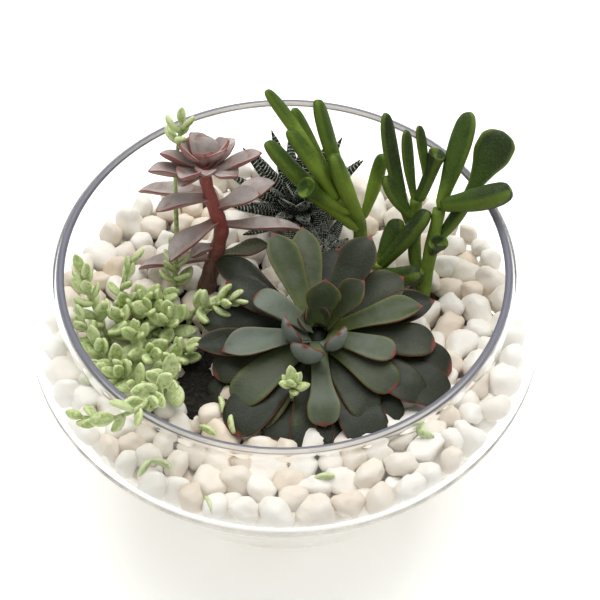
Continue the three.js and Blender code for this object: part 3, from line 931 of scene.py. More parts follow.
class Grower(Nodes):
    """Builds a geometry node tree with named inputs."""

    def __init__(self, name: str) -> None:
        """Starts a tree with a geometry in and out.

        Args:
            name: The tree's name.
        """
        super().__init__(bpy.data.node_groups.new(name, "GeometryNodeTree"))
        face = self.tree.interface
        face.new_socket("Geometry", in_out="INPUT", socket_type="NodeSocketGeometry")
        face.new_socket("Geometry", in_out="OUTPUT", socket_type="NodeSocketGeometry")
        self.entry = self.tree.nodes.new("NodeGroupInput")

    def value(self, name: str, default: Any = None, kind: str = "Float") -> Signal:
        """Adds a named input.

        Args:
            name: Its name.
            default: Its first value.
            kind: Its socket's kind.

        Returns:
            What it carries into the tree.
        """
        made = self.tree.interface.new_socket(name, in_out="INPUT", socket_type="NodeSocket" + kind)
        if default is not None:
            made.default_value = default
        return Signal(self, self.entry.outputs[name])

    def named(self, name: str, kind: str = "FLOAT") -> Signal:
        """Reads a number stored on the geometry."""
        return self.node("GeometryNodeInputNamedAttribute", {"data_type": kind}, {"Name": name})

    def parts(self, shapes: Signal) -> Signal:
        """The shapes of a collection, each by itself."""
        inputs = {"Collection": shapes, "Separate Children": True, "Reset Children": True}
        return self.node("GeometryNodeCollectionInfo", inputs=inputs)

    def turn(self, rotation: Signal, axis: Point, angle: Signal) -> Signal:
        """Turns a rotation about one of its own axes, by an angle in radians."""
        about = self.node("FunctionNodeAxisAngleToRotation", inputs={"Axis": axis, "Angle": angle})
        return self.node("FunctionNodeRotateRotation", {"rotation_space": "LOCAL"}, {0: rotation, 1: about})

    def finish(self, geometry: Any) -> bpy.types.NodeTree:
        """Realizes the instances, sets the material input and joins the output.

        Args:
            geometry: The geometry to hand out.

        Returns:
            The tree.
        """
        material = self.value("Material", kind="Material")
        real = self.node("GeometryNodeRealizeInstances", inputs={"Geometry": geometry})
        dressed = self.node("GeometryNodeSetMaterial", inputs={"Geometry": real, "Material": material})
        exit_node = self.tree.nodes.new("NodeGroupOutput")
        self.tree.links.new(dressed.socket, exit_node.inputs[0])
        return self.tree


def grown(
    name: str, seedbed: bpy.types.Object, tree: bpy.types.NodeTree, **values: Any
) -> bpy.types.Object:
    """Runs a tree over an object and hands back the plain mesh it makes.

    Args:
        name: The new piece's name.
        seedbed: The object whose mesh the tree reads; it is removed afterwards.
        tree: The geometry node tree.
        values: The tree's inputs by name, with underscores for spaces.

    Returns:
        The piece.
    """
    modifier = seedbed.modifiers.new("grow", "NODES")
    modifier.node_group = tree
    sockets = [item for item in tree.interface.items_tree if item.in_out == "INPUT"]
    identifiers = {socket.name: socket.identifier for socket in sockets}
    for key, value in values.items():
        modifier[identifiers[key.replace("_", " ")]] = value
    evaluated = seedbed.evaluated_get(bpy.context.evaluated_depsgraph_get())
    mesh = bpy.data.meshes.new_from_object(evaluated)
    seedbed.modifiers.remove(modifier)
    bpy.data.objects.remove(seedbed)
    mesh.name = name
    mesh.shade_smooth()
    return placed(name, mesh)


def placing_tree() -> bpy.types.NodeTree:
    """A tree that sets copies of a collection's shapes on points, turned and sized by what each stores.

    Returns:
        The tree.
    """
    grow = Grower("place_on_points")
    parts = grow.parts(grow.value("Shapes", kind="Collection"))
    turned = grow.node("FunctionNodeEulerToRotation", inputs={0: grow.named("turn", "FLOAT_VECTOR")})
    copies = grow.node(
        "GeometryNodeInstanceOnPoints",
        inputs={
            "Points": grow.entry.outputs["Geometry"],
            "Instance": parts,
            "Pick Instance": True,
            "Instance Index": grow.named("pick", "INT"),
            "Rotation": turned,
            "Scale": grow.named("size", "FLOAT_VECTOR"),
        },
    )
    return grow.finish(copies)


def leafy_tree() -> bpy.types.NodeTree:
    """A tree that grows a tapering tube and a spiral of leaves along a line.

    Leaves near the line's end are smaller and stand closer to it. The line stores which of its points carry
    leaves, as leafy, and how far along its leafy stretch each point is, as reached.

    Returns:
        The tree.
    """
    grow = Grower("leafy_stem")
    shapes = grow.value("Leaves", kind="Collection")
    pitch = grow.value("Pitch", 0.003)
    width = grow.value("Stem Radius", 0.0018)
    size = grow.value("Leaf Size", 1.0)
    spiral = grow.value("Spiral", GOLDEN_ANGLE)
    spread = grow.value("Spread", math.radians(66))
    sides = grow.value("Stem Sides", 9, "Int")
    thinning = grow.value("Stem Thinning", 0.3)
    opening = grow.value("Opening", 1.1)
    closing = grow.value("Closing", 0.72)
    shrinking = grow.value("Shrinking", 0.28)
    least = grow.value("Least Size", 0.82)
    most = grow.value("Most Size", 1.16)
    last_kind = grow.value("Last Kind", 3, "Int")
    seed = grow.value("Seed", 1, "Int")
    line = grow.node("GeometryNodeMeshToCurve", inputs={"Mesh": grow.entry.outputs["Geometry"]})
    ring = grow.node(
        "GeometryNodeCurvePrimitiveCircle", {"mode": "RADIUS"}, {"Resolution": sides, "Radius": 1.0}
    )
    taper = 1.0 - grow.node("GeometryNodeSplineParameter") * thinning
    tube = {"Curve": line, "Profile Curve": ring, "Scale": width * taper, "Fill Caps": True}
    stem = grow.node("GeometryNodeCurveToMesh", inputs=tube)
    dots = grow.node("GeometryNodeResampleCurve", {"mode": "LENGTH"}, {"Curve": line, "Length": pitch})
    tangent = grow.node("GeometryNodeInputTangent")
    reached = grow.named("reached")
    index = grow.node("GeometryNodeInputIndex")
    upright = grow.node("FunctionNodeAlignRotationToVector", {"axis": "Z"}, {"Vector": tangent})
    turned = grow.turn(upright, (0, 0, 1), index * spiral)
    chance = grow.node(
        "FunctionNodeRandomValue", {"data_type": "FLOAT"}, {2: least, 3: most, "Seed": seed}, output=1
    )
    leaning = grow.turn(turned, (0, 1, 0), spread * (opening - reached**2.0 * closing) * chance)
    pick = grow.node(
        "FunctionNodeRandomValue", {"data_type": "INT"}, {4: 0, 5: last_kind, "Seed": seed + 7}, output=2
    )
    leaves = grow.node(
        "GeometryNodeInstanceOnPoints",
        inputs={
            "Points": dots,
            "Selection": grow.named("leafy") > 0.5,
            "Instance": grow.parts(shapes),
            "Pick Instance": True,
            "Instance Index": pick,
            "Rotation": leaning,
            "Scale": size * (1.0 - reached * shrinking) * chance,
        },
    )
    both = grow.tree.nodes.new("GeometryNodeJoinGeometry")
    grow.tree.links.new(leaves.socket, both.inputs[0])
    grow.tree.links.new(stem.socket, both.inputs[0])
    return grow.finish(both.outputs[0])


def shape_collection(name: str, shapes: Sequence[bpy.types.Object]) -> bpy.types.Collection:
    """Puts shapes in a collection of their own, out of the scene.

    Args:
        name: The collection's name.
        shapes: The objects.

    Returns:
        The collection.
    """
    made = bpy.data.collections.new(name)
    for shape in shapes:
        for other in list(shape.users_collection):
            other.objects.unlink(shape)
        made.objects.link(shape)
    return made


def points_object(name: str, places: np.ndarray, **stored: np.ndarray) -> bpy.types.Object:
    """A mesh of bare points that store numbers, for a tree to read.

    Args:
        name: The object's name.
        places: Points in millimetres.
        stored: Values by name: whole numbers, numbers or vectors.

    Returns:
        The object.
    """
    mesh = bpy.data.meshes.new(name)
    mesh.from_pydata(np.asarray(places) * MM, [], [])
    for key, values in stored.items():
        array = np.asarray(values)
        whole = array.dtype.kind == "i"
        kind = "FLOAT_VECTOR" if array.ndim == 2 else ("INT" if whole else "FLOAT")
        target = mesh.attributes.new(key, kind, "POINT").data
        exact = array.astype(np.int32 if whole else np.float32)
        target.foreach_set("vector" if array.ndim == 2 else "value", exact.ravel())
    return placed(name, mesh)


def join_up(piece: bpy.types.Object, nodes: Iterable[str] = ()) -> None:
    """Makes a piece part of the object.

    Args:
        piece: The finished piece.
        nodes: The solids that it stands for.
    """
    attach(piece, ROOT)
    if nodes:
        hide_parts(*nodes)
    log.info("%s: %d faces", piece.name, len(piece.data.polygons))


# Bowl


@dataclass
class GlassBowl:
    """The open bowl: a narrowing body, a soft ridge at its widest line and a shoulder up to the rim.

    body and shoulder are (radius, height) pairs of the outer face, below and above the ridge. The outlines
    stop inside_to and outside_to below the rim, where the rounded lip takes over.
    """

    height: float = 160.0
    foot_radius: float = 88.0
    belly_radius: float = 150.0
    belly_height: float = 112.0
    rim_radius: float = 130.0
    body: Sequence[tuple[float, float]] = ((100.0, 8.0), (113.0, 34.0), (128.0, 64.0), (142.0, 92.0))
    shoulder: Sequence[tuple[float, float]] = ((145.5, 129.0), (138.0, 145.0))
    wall: float = 4.5
    base_thickness: float = 9.0
    corner: float = 4.0
    corner_bend: tuple[float, float] = (1.4, 1.2)
    foot_ring: float = 10.0
    hollow: float = 1.2
    hollow_slope: float = 4.0
    segments: int = 128
    stretches: int = 54
    lip: float = 2.2
    lip_points: int = 9
    inside_to: float = 3.0
    outside_to: float = 2.0
    outer: np.ndarray = field(init=False)
    inner: np.ndarray = field(init=False)

    def __post_init__(self) -> None:
        """Works out the outlines."""
        points = [
            (self.foot_radius, 0.0),
            *self.body,
            (self.belly_radius, self.belly_height),
            *self.shoulder,
            (self.rim_radius, self.height),
        ]
        self.outer = spline(points, self.stretches)
        self.inner = self.inset(self.wall)

    def inset(self, depth: float) -> np.ndarray:
        """The outer outline moved inwards.

        Args:
            depth: How far.

        Returns:
            (radius, height) pairs.
        """
        along = np.gradient(self.outer, axis=0)
        along /= np.linalg.norm(along, axis=1)[:, None]
        return self.outer + depth * np.stack([-along[:, 1], along[:, 0]], axis=1)

    def inner_radius(self, height: Any) -> Any:
        """The radius inside the glass at a height."""
        return np.interp(height, self.inner[:, 1], self.inner[:, 0])

    def profile(self) -> np.ndarray:
        """The section of the glass.

        Returns:
            (radius, height) pairs from the middle of its underside round to the middle of its inside.
        """
        rim = np.array([self.rim_radius - self.wall / 2, self.height - self.lip])
        turn = np.linspace(0, math.pi, self.lip_points)
        round_lip = rim + np.stack([self.wall / 2 * np.cos(turn), self.lip * np.sin(turn)], axis=1)
        lowest, highest = self.base_thickness + self.corner, self.height - self.inside_to
        inside = self.inner[(self.inner[:, 1] > lowest) & (self.inner[:, 1] < highest)]
        outside = self.outer[self.outer[:, 1] < self.height - self.outside_to]
        bottom = self.inner_radius(lowest)
        inwards, upwards = self.corner_bend
        corner = [
            [bottom - inwards, self.base_thickness + upwards],
            [bottom - self.corner, self.base_thickness],
        ]
        ring = self.foot_radius - self.foot_ring
        under = [[0.0, self.hollow], [ring - self.hollow_slope, self.hollow], [ring, 0.0]]
        return np.vstack([under, outside, round_lip, inside[::-1], corner, [[0.0, self.base_thickness]]])

    def build(self) -> None:
        """Makes the glass and joins it up."""
        section = self.profile()
        turn = np.linspace(0, 2 * math.pi, self.segments, endpoint=False)
        skin = Skin()
        radii, heights = section[1:-1, 0], section[1:-1, 1]
        rings = np.stack(
            [
                radii[:, None] * np.cos(turn)[None],
                radii[:, None] * np.sin(turn)[None],
                np.repeat(heights[:, None], self.segments, axis=1),
            ],
            axis=-1,
        )
        skin.add(rings, ((0, 0, section[0, 1]), (0, 0, section[-1, 1])))
        join_up(skin.make("bowl_clear_glass", ClearGlass().make()), ["glass_bowl"])


# Pebbles and soil


@dataclass
class Pebbles:
    """Loose white pebbles: a top layer, a second layer under it, and those seen through the glass.

    Places start on a loose lattice and in rings, and are then pushed apart until they lie side by side. The
    stems are (x, y, radius) of what the pebbles leave free.
    """

    bowl: GlassBowl
    stems: Sequence[tuple[float, float, float]]
    level: float = 106.0
    slope: float = -0.065
    spacing: float = 16.8
    row_pitch: float = 0.87  # distance of two rows, over the spacing
    rows_a_side: int = 10
    places_a_side: int = 9
    scatter: float = 2.2
    depth: float = 7.5
    under_drop: float = 12.0
    under_shift: float = 0.6  # how far the second layer moves back, over its drop
    glass_margin: float = 6.0
    ring_heights: tuple[float, float, float] = (17.0, 102.0, 12.0)  # lowest, limit and step
    ring_margin: float = 8.5
    ring_pitch: float = 16.2
    ring_scatter: tuple[float, float] = (0.03, 2.0)  # radians round and millimetres up
    smallest: float = 6.8
    largest: float = 11.2
    rounds: int = 90
    closeness: float = 0.84  # least distance of two pebbles, over the sum of their radii
    push: float = 0.32
    sunk: float = 0.8  # share of its radius that a pebble's middle lies under the top
    heap: float = 3.5  # how much higher they lie near the glass
    heap_from: tuple[float, float] = (0.7, 0.2)  # where that starts and over how much, in belly radii
    stem_nearness: float = 0.9
    glass_nearness: tuple[float, float] = (0.93, 0.4)  # share of the radius, and millimetres
    shapes: int = 14
    fineness: int = 3
    facets: int = 13
    facet_depths: tuple[float, float] = (0.74, 1.08)
    roundness: int = 12  # the higher, the sharper the edges between two facets
    largest_reach: float = 1.12
    lumps: tuple[float, float] = (0.03, 5.0)  # height and waves
    length: float = 1.1
    breadths: tuple[float, float] = (0.84, 1.0)
    heights: tuple[float, float] = (0.72, 0.86)
    tumble: float = 0.4
    wall_tumble: float = 0.3
    stretch: tuple[float, float] = (0.94, 1.08)
    cream_rarity: float = 1.5
    play: float = 0.3
    core_depth: float = 17.0
    core_inset: float = 0.72  # distance of the core from the glass, over its depth
    core_points: tuple[int, int] = (60, 12)  # round it and up it
    core_roughness: float = 0.8
    core_tone: float = 0.9
    seed: int = 11

    def bed_level(self, y: Any) -> Any:
        """Height of the pebbles' tops, which rises towards the front."""
        return self.level + self.slope * y

    def _lattice(self, draw: np.random.Generator, drop: float) -> np.ndarray:
        """Staggered rows of places under the bed's top.

        Args:
            draw: The random source.
            drop: How far under the top layer they lie.

        Returns:
            The places.
        """
        rows = []
        pitch = self.spacing * self.row_pitch
        columns = np.arange(-self.places_a_side, self.places_a_side + 1)
        for k in range(-self.rows_a_side, self.rows_a_side + 1):
            x = columns * self.spacing + (k % 2) * self.spacing / 2 + drop
            rows.append(np.stack([x, np.full_like(x, k * pitch + drop * self.under_shift)], axis=1))
        flat = np.vstack(rows)
        flat = flat + draw.normal(0, self.scatter, flat.shape)
        height = self.bed_level(flat[:, 1]) - self.depth - drop
        places = np.column_stack([flat, height])
        return places[np.hypot(flat[:, 0], flat[:, 1]) < self.bowl.inner_radius(height) - self.glass_margin]

    def _wall(self, draw: np.random.Generator) -> np.ndarray:
        """Rings of places against the glass below the top layer.

        Args:
            draw: The random source.

        Returns:
            The places.
        """
        rings = []
        sideways, upwards = self.ring_scatter
        for k, height in enumerate(np.arange(*self.ring_heights)):
            radius = self.bowl.inner_radius(height) - self.ring_margin
            count = int(2 * math.pi * radius / self.ring_pitch)
            even = 2 * math.pi * (np.arange(count) + 0.5 * (k % 2)) / count
            turn = even + draw.normal(0, sideways, count)
            level = height + draw.normal(0, upwards, count)
            rings.append(np.column_stack([radius * np.cos(turn), radius * np.sin(turn), level]))
        return np.vstack(rings)

    def pack(self) -> tuple[np.ndarray, np.ndarray, np.ndarray]:
        """Settles the pebbles against each other.

        Returns:
            Their middles, their radii, and 0 for the top layers or 1 for those against the glass.
        """
        draw = np.random.default_rng(self.seed)
        top = self._lattice(draw, 0.0)
        under = self._lattice(draw, self.under_drop)
        wall = self._wall(draw)
        places = np.vstack([top, under, wall])
        group = np.repeat([0, 0, 1], [len(top), len(under), len(wall)])
        radii = draw.uniform(self.smallest, self.largest, len(places))
        for _ in range(self.rounds):
            gap = places[:, None] - places[None]
            apart = np.linalg.norm(gap, axis=2) + np.eye(len(places)) * FAR
            short = np.clip(self.closeness * (radii[:, None] + radii[None]) - apart, 0, None)
            places = places + self.push * (gap / apart[..., None] * short[..., None]).sum(1)
            places = self._contained(places, radii)
        return places, radii, group

    def _contained(self, places: np.ndarray, radii: np.ndarray) -> np.ndarray:
        """Keeps the pebbles under the bed's top, inside the glass and off the stems.

        Args:
            places: Their middles.
            radii: Their radii.

        Returns:
            The middles moved.
        """
        places = places.copy()
        out = np.hypot(places[:, 0], places[:, 1]) / self.bowl.belly_radius
        start, over = self.heap_from
        heaped = self.heap * np.clip((out - start) / over, 0, 1)
        top = self.bed_level(places[:, 1]) - radii * self.sunk + heaped
        places[:, 2] = np.clip(places[:, 2], self.bowl.base_thickness + radii * self.sunk, top)
        for x, y, stem in self.stems:
            off = places[:, :2] - (x, y)
            away = np.linalg.norm(off, axis=1) + TINY
            push = np.clip(stem + radii * self.stem_nearness - away, 0, None)
            places[:, :2] += off / away[:, None] * push[:, None]
        share, free = self.glass_nearness
        self._pull_in(places, radii * share + free)
        return places

    def _pull_in(self, places: np.ndarray, margin: Any) -> None:
        """Moves places towards the bowl's axis where they would be too near the glass.

        Args:
            places: The places, changed where they stand.
            margin: How far from the inside of the glass they stay, in millimetres.
        """
        most = self.bowl.inner_radius(places[:, 2]) - margin
        reached = np.hypot(places[:, 0], places[:, 1]) + TINY
        places[:, :2] *= np.minimum(1, most / reached)[:, None]

    def _shapes(self, draw: np.random.Generator) -> list[bpy.types.Object]:
        """A few worn blocky stones of radius one.

        Each is a ball cut back by facets in random directions, with soft edges between them.

        Args:
            draw: The random source.

        Returns:
            The stones.
        """
        made = []
        high, waves = self.lumps
        for k in range(self.shapes):
            mesh = icosphere(f"stone_{k:02d}", self.fineness)
            way = np.array([vertex.co for vertex in mesh.vertices])
            faces = draw.normal(size=(self.facets, 3))
            faces /= np.linalg.norm(faces, axis=1)[:, None]
            depth = draw.uniform(*self.facet_depths, self.facets)
            toward = np.clip(way @ faces.T, 0, None) / depth
            worn = (toward**self.roundness).sum(1) ** (-1 / self.roundness)
            lumpy = sum(high * np.sin(way @ draw.normal(size=3) * waves + k) for _ in range(3))
            reached = np.minimum(worn, self.largest_reach) + lumpy
            sides = (self.length, draw.uniform(*self.breadths), draw.uniform(*self.heights))
            mesh.vertices.foreach_set("co", (way * reached[:, None] * sides).astype(np.float32).ravel())
            made.append(bpy.data.objects.new(mesh.name, mesh))
        return made

    def _turns(self, places: np.ndarray, group: np.ndarray, draw: np.random.Generator) -> np.ndarray:
        """Euler turns that lay the flat ones along the bed's top or the glass.

        Args:
            places: The pebbles' middles.
            group: 1 for those against the glass.
            draw: The random source.

        Returns:
            The turns in radians.
        """
        count = len(places)
        turns = np.column_stack(
            [draw.normal(0, self.tumble, (count, 2)), draw.uniform(0, 2 * math.pi, count)]
        )
        out = np.arctan2(places[:, 1], places[:, 0])
        wall = group == 1
        turns[wall, 0] = draw.uniform(0, 2 * math.pi, wall.sum())
        turns[wall, 1] = math.pi / 2 + draw.normal(0, self.wall_tumble, wall.sum())
        turns[wall, 2] = out[wall]
        return turns

    def build(self, tree: bpy.types.NodeTree) -> None:
        """Makes the pebbles and what lies behind them.

        Args:
            tree: The tree that sets shapes on points.
        """
        material = TumbledStone().make()
        places, radii, group = self.pack()
        draw = np.random.default_rng(self.seed + 1)
        stones = shape_collection("stones", self._shapes(draw))
        turns = self._turns(places, group, draw)
        size = radii[:, None] * MM * draw.uniform(*self.stretch, (len(places), 3))
        tone = draw.uniform(0, 1, len(places)) ** self.cream_rarity
        pick = draw.integers(0, self.shapes, len(places))
        front = places[:, 1] < 0
        crowns = {
            "pebbles_front": (group == 0) & front,
            "pebbles_back": (group == 0) & ~front,
            "pebbles_against_glass": group == 1,
        }
        for name, mask in crowns.items():
            seedbed = points_object(
                name, places[mask], turn=turns[mask], size=size[mask], tone=tone[mask], pick=pick[mask]
            )
            piece = grown(name, seedbed, tree, Shapes=stones, Material=material)
            self._keep_inside(piece.data)
            join_up(piece, ["pebble_bed"])
        self._core(material)

    def _keep_inside(self, mesh: bpy.types.Mesh) -> None:
        """Moves what would stand in the glass back to just inside it.

        Args:
            mesh: A mesh in metres.
        """
        places = np.empty(len(mesh.vertices) * 3, np.float32)
        mesh.vertices.foreach_get("co", places)
        places = places.reshape(-1, 3) / MM
        self._pull_in(places, self.play)
        mesh.vertices.foreach_set("co", (places * MM).ravel())

    def _core(self, material: bpy.types.Material) -> None:
        """A rough pale body under the two layers, which closes the gaps between them.

        Args:
            material: Its finish.
        """
        around, up = self.core_points
        turn = np.linspace(0, 2 * math.pi, around, endpoint=False)
        heights = np.linspace(self.bowl.base_thickness + 1, self.level - self.core_depth, up)
        draw = np.random.default_rng(self.seed + 2)
        rings = []
        for height in heights:
            even = self.bowl.inner_radius(height) - self.core_depth * self.core_inset
            radius = even + draw.normal(0, self.core_roughness, len(turn))
            lift = np.where(height == heights[-1], self.slope * radius * np.sin(turn), 0.0)
            rings.append(np.stack([radius * np.cos(turn), radius * np.sin(turn), height + lift], axis=1))
        skin = Skin()
        skin.add(np.array(rings), tone=self.core_tone)
        join_up(skin.make("pebbles_deep", material), ["pebble_bed"])


@dataclass
class Soil:
    """Crumbs of soil heaped in the gaps round the stems, and two dark heaps in front put in as painted
    shade.

    The heaps are (x, y, radius, top), and the section is (share of the radius, height over the top) pairs.
    """

    heaps: Sequence[tuple[float, float, float, float]]
    section: Sequence[tuple[float, float]] = (
        (1.0, -16.0), (0.92, -3.0), (0.7, 0.0), (0.45, 1.2), (0.2, 1.8),
    )
    around: int = 40
    crumble: tuple[float, float] = (0.03, 0.7)  # share of the radius, and millimetres up
    seed: int = 5

    def build(self) -> None:
        """Makes the heaps and dresses the hidden core."""
        material = DampSoil().make()
        core = frame["nodes"]["soil"]
        core.data.materials.clear()
        core.data.materials.append(material)
        skin = Skin()
        draw = np.random.default_rng(self.seed)
        turn = np.linspace(0, 2 * math.pi, self.around, endpoint=False)
        outwards, upwards = self.crumble
        for x, y, radius, top in self.heaps:
            rings = []
            for share, rise in self.section:
                r = radius * share * (1 + draw.normal(0, outwards, len(turn)))
                z = top + rise + draw.normal(0, upwards, len(turn))
                rings.append(np.stack([x + r * np.cos(turn), y + r * np.sin(turn), z], axis=1))
            skin.add(np.array(rings))
        join_up(skin.make("soil_round_stems", material))


# Plants


@dataclass(frozen=True)
class Core:
    """The short middle of a rosette, where its leaves leave it."""

    radius: float
    height: float
    steepest: float = 70.0  # leaves that rise so many degrees stand on top
    narrowing: float = 0.7  # how much nearer the middle they stand

    def foot(self, out: np.ndarray, rise: float) -> np.ndarray:
        """Where a leaf leaves the core.

        Args:
            out: The level way that the leaf points.
            rise: Degrees that it rises.

        Returns:
            The place, from the middle of the core's top.
        """
        steep = min(max(rise / self.steepest, 0), 1)
        down = np.array([0, 0, self.height * (1 - steep)])
        return out * self.radius * (1 - self.narrowing * steep) - down


@dataclass
class LargeRosette:
    """The broad grey-green rosette with red-brown margins.

    A habit is an outline with the degrees that its tip turns and its cup. A row is a leaf: azimuth and rise
    in degrees, length, width, curl in degrees, frost, depth of colour as painted shade, and an outline if
    not the form's.
    """

    crown: Point = (19.0, -21.0, 126.0)
    lean: float = 8.0
    core: Core = Core(8.0, 10.0)
    form: LeafForm = LeafForm(
        Outline.SPOON, 4.6, rise=0.3, fold=0.06, ripple=0.035, stations=28, around=20
    )
    thickest: float = 0.26  # thickness over width
    widening: float = 1.08
    wander: float = 5.0  # degrees of twist
    tone_range: float = 0.2
    stem: Sequence[Point] = ((19, -16, 74), (19, -17, 92), (19, -18, 102), (19, -19, 109), (19, -20, 115))
    stem_radii: Sequence[float] = (8.0, 8.5, 9.0, 9.0, 7.0)
    stem_sides: int = 14
    seed: int = 3
    habits: Sequence[tuple[Outline, float, float]] = (
        (Outline.SPOON, -12.0, 0.32),
        (Outline.BLUNT, -16.0, 0.08),
        (Outline.FLARED, -30.0, 0.2),
    )
    rows: Sequence[tuple[Any, ...]] = (
        (132, 58, 14, 11, 20, 0.0, 0.2), (60, 58, 13, 10, 20, 0.0, 0.3),
        (190, 54, 18, 11, 24, 0.5, 0.0),
        (76, 60, 30, 19, 6, 0.0, 0.25), (36, 40, 37, 17, 4, 0.0, 0.3),
        (254, 10, 43, 19, 104, 1.0, 0.0), (208, 20, 33, 17, 96, 0.9, 0.0),
        (309, 20, 32, 17, 96, 0.9, 0.0), (115, 20, 60, 18, 0, 0.1, 0.0),
        (98, 16, 60, 17, 0, 0.1, 0.1), (60, 20, 60, 21, 0, 0.0, 0.4),
        (156, 37, 38, 15, -30, 0.6, 0.0, Outline.BLUNT), (11, 18, 57, 17, -10, 0.15, 0.15),
        (335, 22, 44, 16, -10, 0.45, 0.1, Outline.BLUNT), (199, 24, 54, 17, -18, 0.65, 0.0),
        (273, 20, 58, 18, -22, 0.5, 0.1, Outline.FLARED),
        (35, 8, 55, 23, 0, 0.0, 0.5), (299, 10, 56, 20, -14, 0.1, 0.4, Outline.BLUNT),
        (318, 17, 53, 20, -18, 0.1, 0.35, Outline.BLUNT), (325, 9, 67, 22, -12, 0.0, 0.6, Outline.BLUNT),
        (352, 11, 62, 21, -10, 0.1, 0.45, Outline.BLUNT), (150, 10, 56, 20, -4, 0.1, 0.5),
        (224, 14, 60, 21, -20, 0.3, 0.25, Outline.BLUNT), (204, 10, 59, 20, -16, 0.15, 0.4, Outline.BLUNT),
        (238, 7, 64, 20, -12, 0.2, 0.35, Outline.BLUNT), (265, 8, 62, 20, -12, 0.1, 0.5, Outline.BLUNT),
        (344, 3, 73, 24, -6, 0.0, 0.7, Outline.BLUNT), (331, 4, 79, 26, -8, 0.0, 0.8, Outline.BLUNT),
        (16, 4, 64, 20, 6, 0.0, 0.7), (191, 2, 66, 17, 22, 0.0, 0.7),
        (233, 7, 74, 26, -8, 0.1, 0.7, Outline.BLUNT), (267, 5, 70, 24, -8, 0.0, 0.75, Outline.BLUNT),
        (294, 6, 72, 26, -8, 0.0, 0.75, Outline.BLUNT), (139, 0, 74, 18, 2, 0.0, 0.7),
        (78, 4, 52, 20, 0, 0.0, 0.8), (173, 4, 62, 22, -4, 0.0, 0.7),
        (250, 0, 66, 24, 4, 0.1, 0.55, Outline.BLUNT), (214, -1, 69, 22, -6, 0.1, 0.6, Outline.BLUNT),
        (280, 0, 66, 23, 4, 0.0, 0.65, Outline.BLUNT), (306, -1, 66, 24, 0, 0.0, 0.7, Outline.BLUNT),
    )

    def build(self) -> None:
        """Makes the rosette and joins it up."""
        tilt = math.radians(self.lean)
        axis = np.array([0.0, -math.sin(tilt), math.cos(tilt)])
        spin = np.array(
            [[1, 0, 0], [0, math.cos(tilt), -math.sin(tilt)], [0, math.sin(tilt), math.cos(tilt)]]
        )
        draw = np.random.default_rng(self.seed)
        skin = Skin()
        crown = np.asarray(self.crown)
        habits = {outline: (turn, cup) for outline, turn, cup in self.habits}
        for azimuth, rise, length, width, curl, frost, depth, *kind in self.rows:
            a, r = math.radians(azimuth), math.radians(rise)
            out = np.array([math.cos(a), math.sin(a), 0.0])
            start = crown + spin @ self.core.foot(out, rise)
            heading = spin @ (out * math.cos(r) + np.array([0, 0, math.sin(r)]))
            twist, phase = draw.normal(0, self.wander), draw.uniform(0, 2 * math.pi)
            outline = kind[0] if kind else self.form.outline
            tip_turn, cup = habits[outline]
            thickness = min(self.form.thickness, self.thickest * width)
            form = replace(self.form, outline=outline, thickness=thickness, tip_turn=tip_turn, cup=cup)
            wide = width * self.widening
            rings, stored = form.rings(start, heading, axis, length, wide, curl, twist, phase)
            # tone carries the row's depth of painted shade, with a little at random
            skin.add(rings, tone=depth + self.tone_range * draw.uniform(), frost=frost, **stored)
        stem = tube_rings(np.array(self.stem, float), np.array(self.stem_radii), self.stem_sides)
        # The stem in the hollow takes the deep colour in full, as painted shade.
        skin.add(stem, along=0.2, face=-1.0, tone=1.4)
        finish = BroadLeaf(
            "grey_green_rosette",
            upper=colour(64, 72, 46),
            bloom=colour(86, 92, 74),
            lower=colour(48, 52, 38),
            base=colour(94, 108, 50),
            edge=colour(116, 62, 54),
            # the colour of the painted shade on the lower leaves
            deep=colour(32, 38, 22),
            frost=colour(112, 120, 112),
            edge_from=0.955,
        )
        leaves = skin.make("echeveria_large_leaves", finish.make())
        join_up(leaves, ["echeveria_large"])


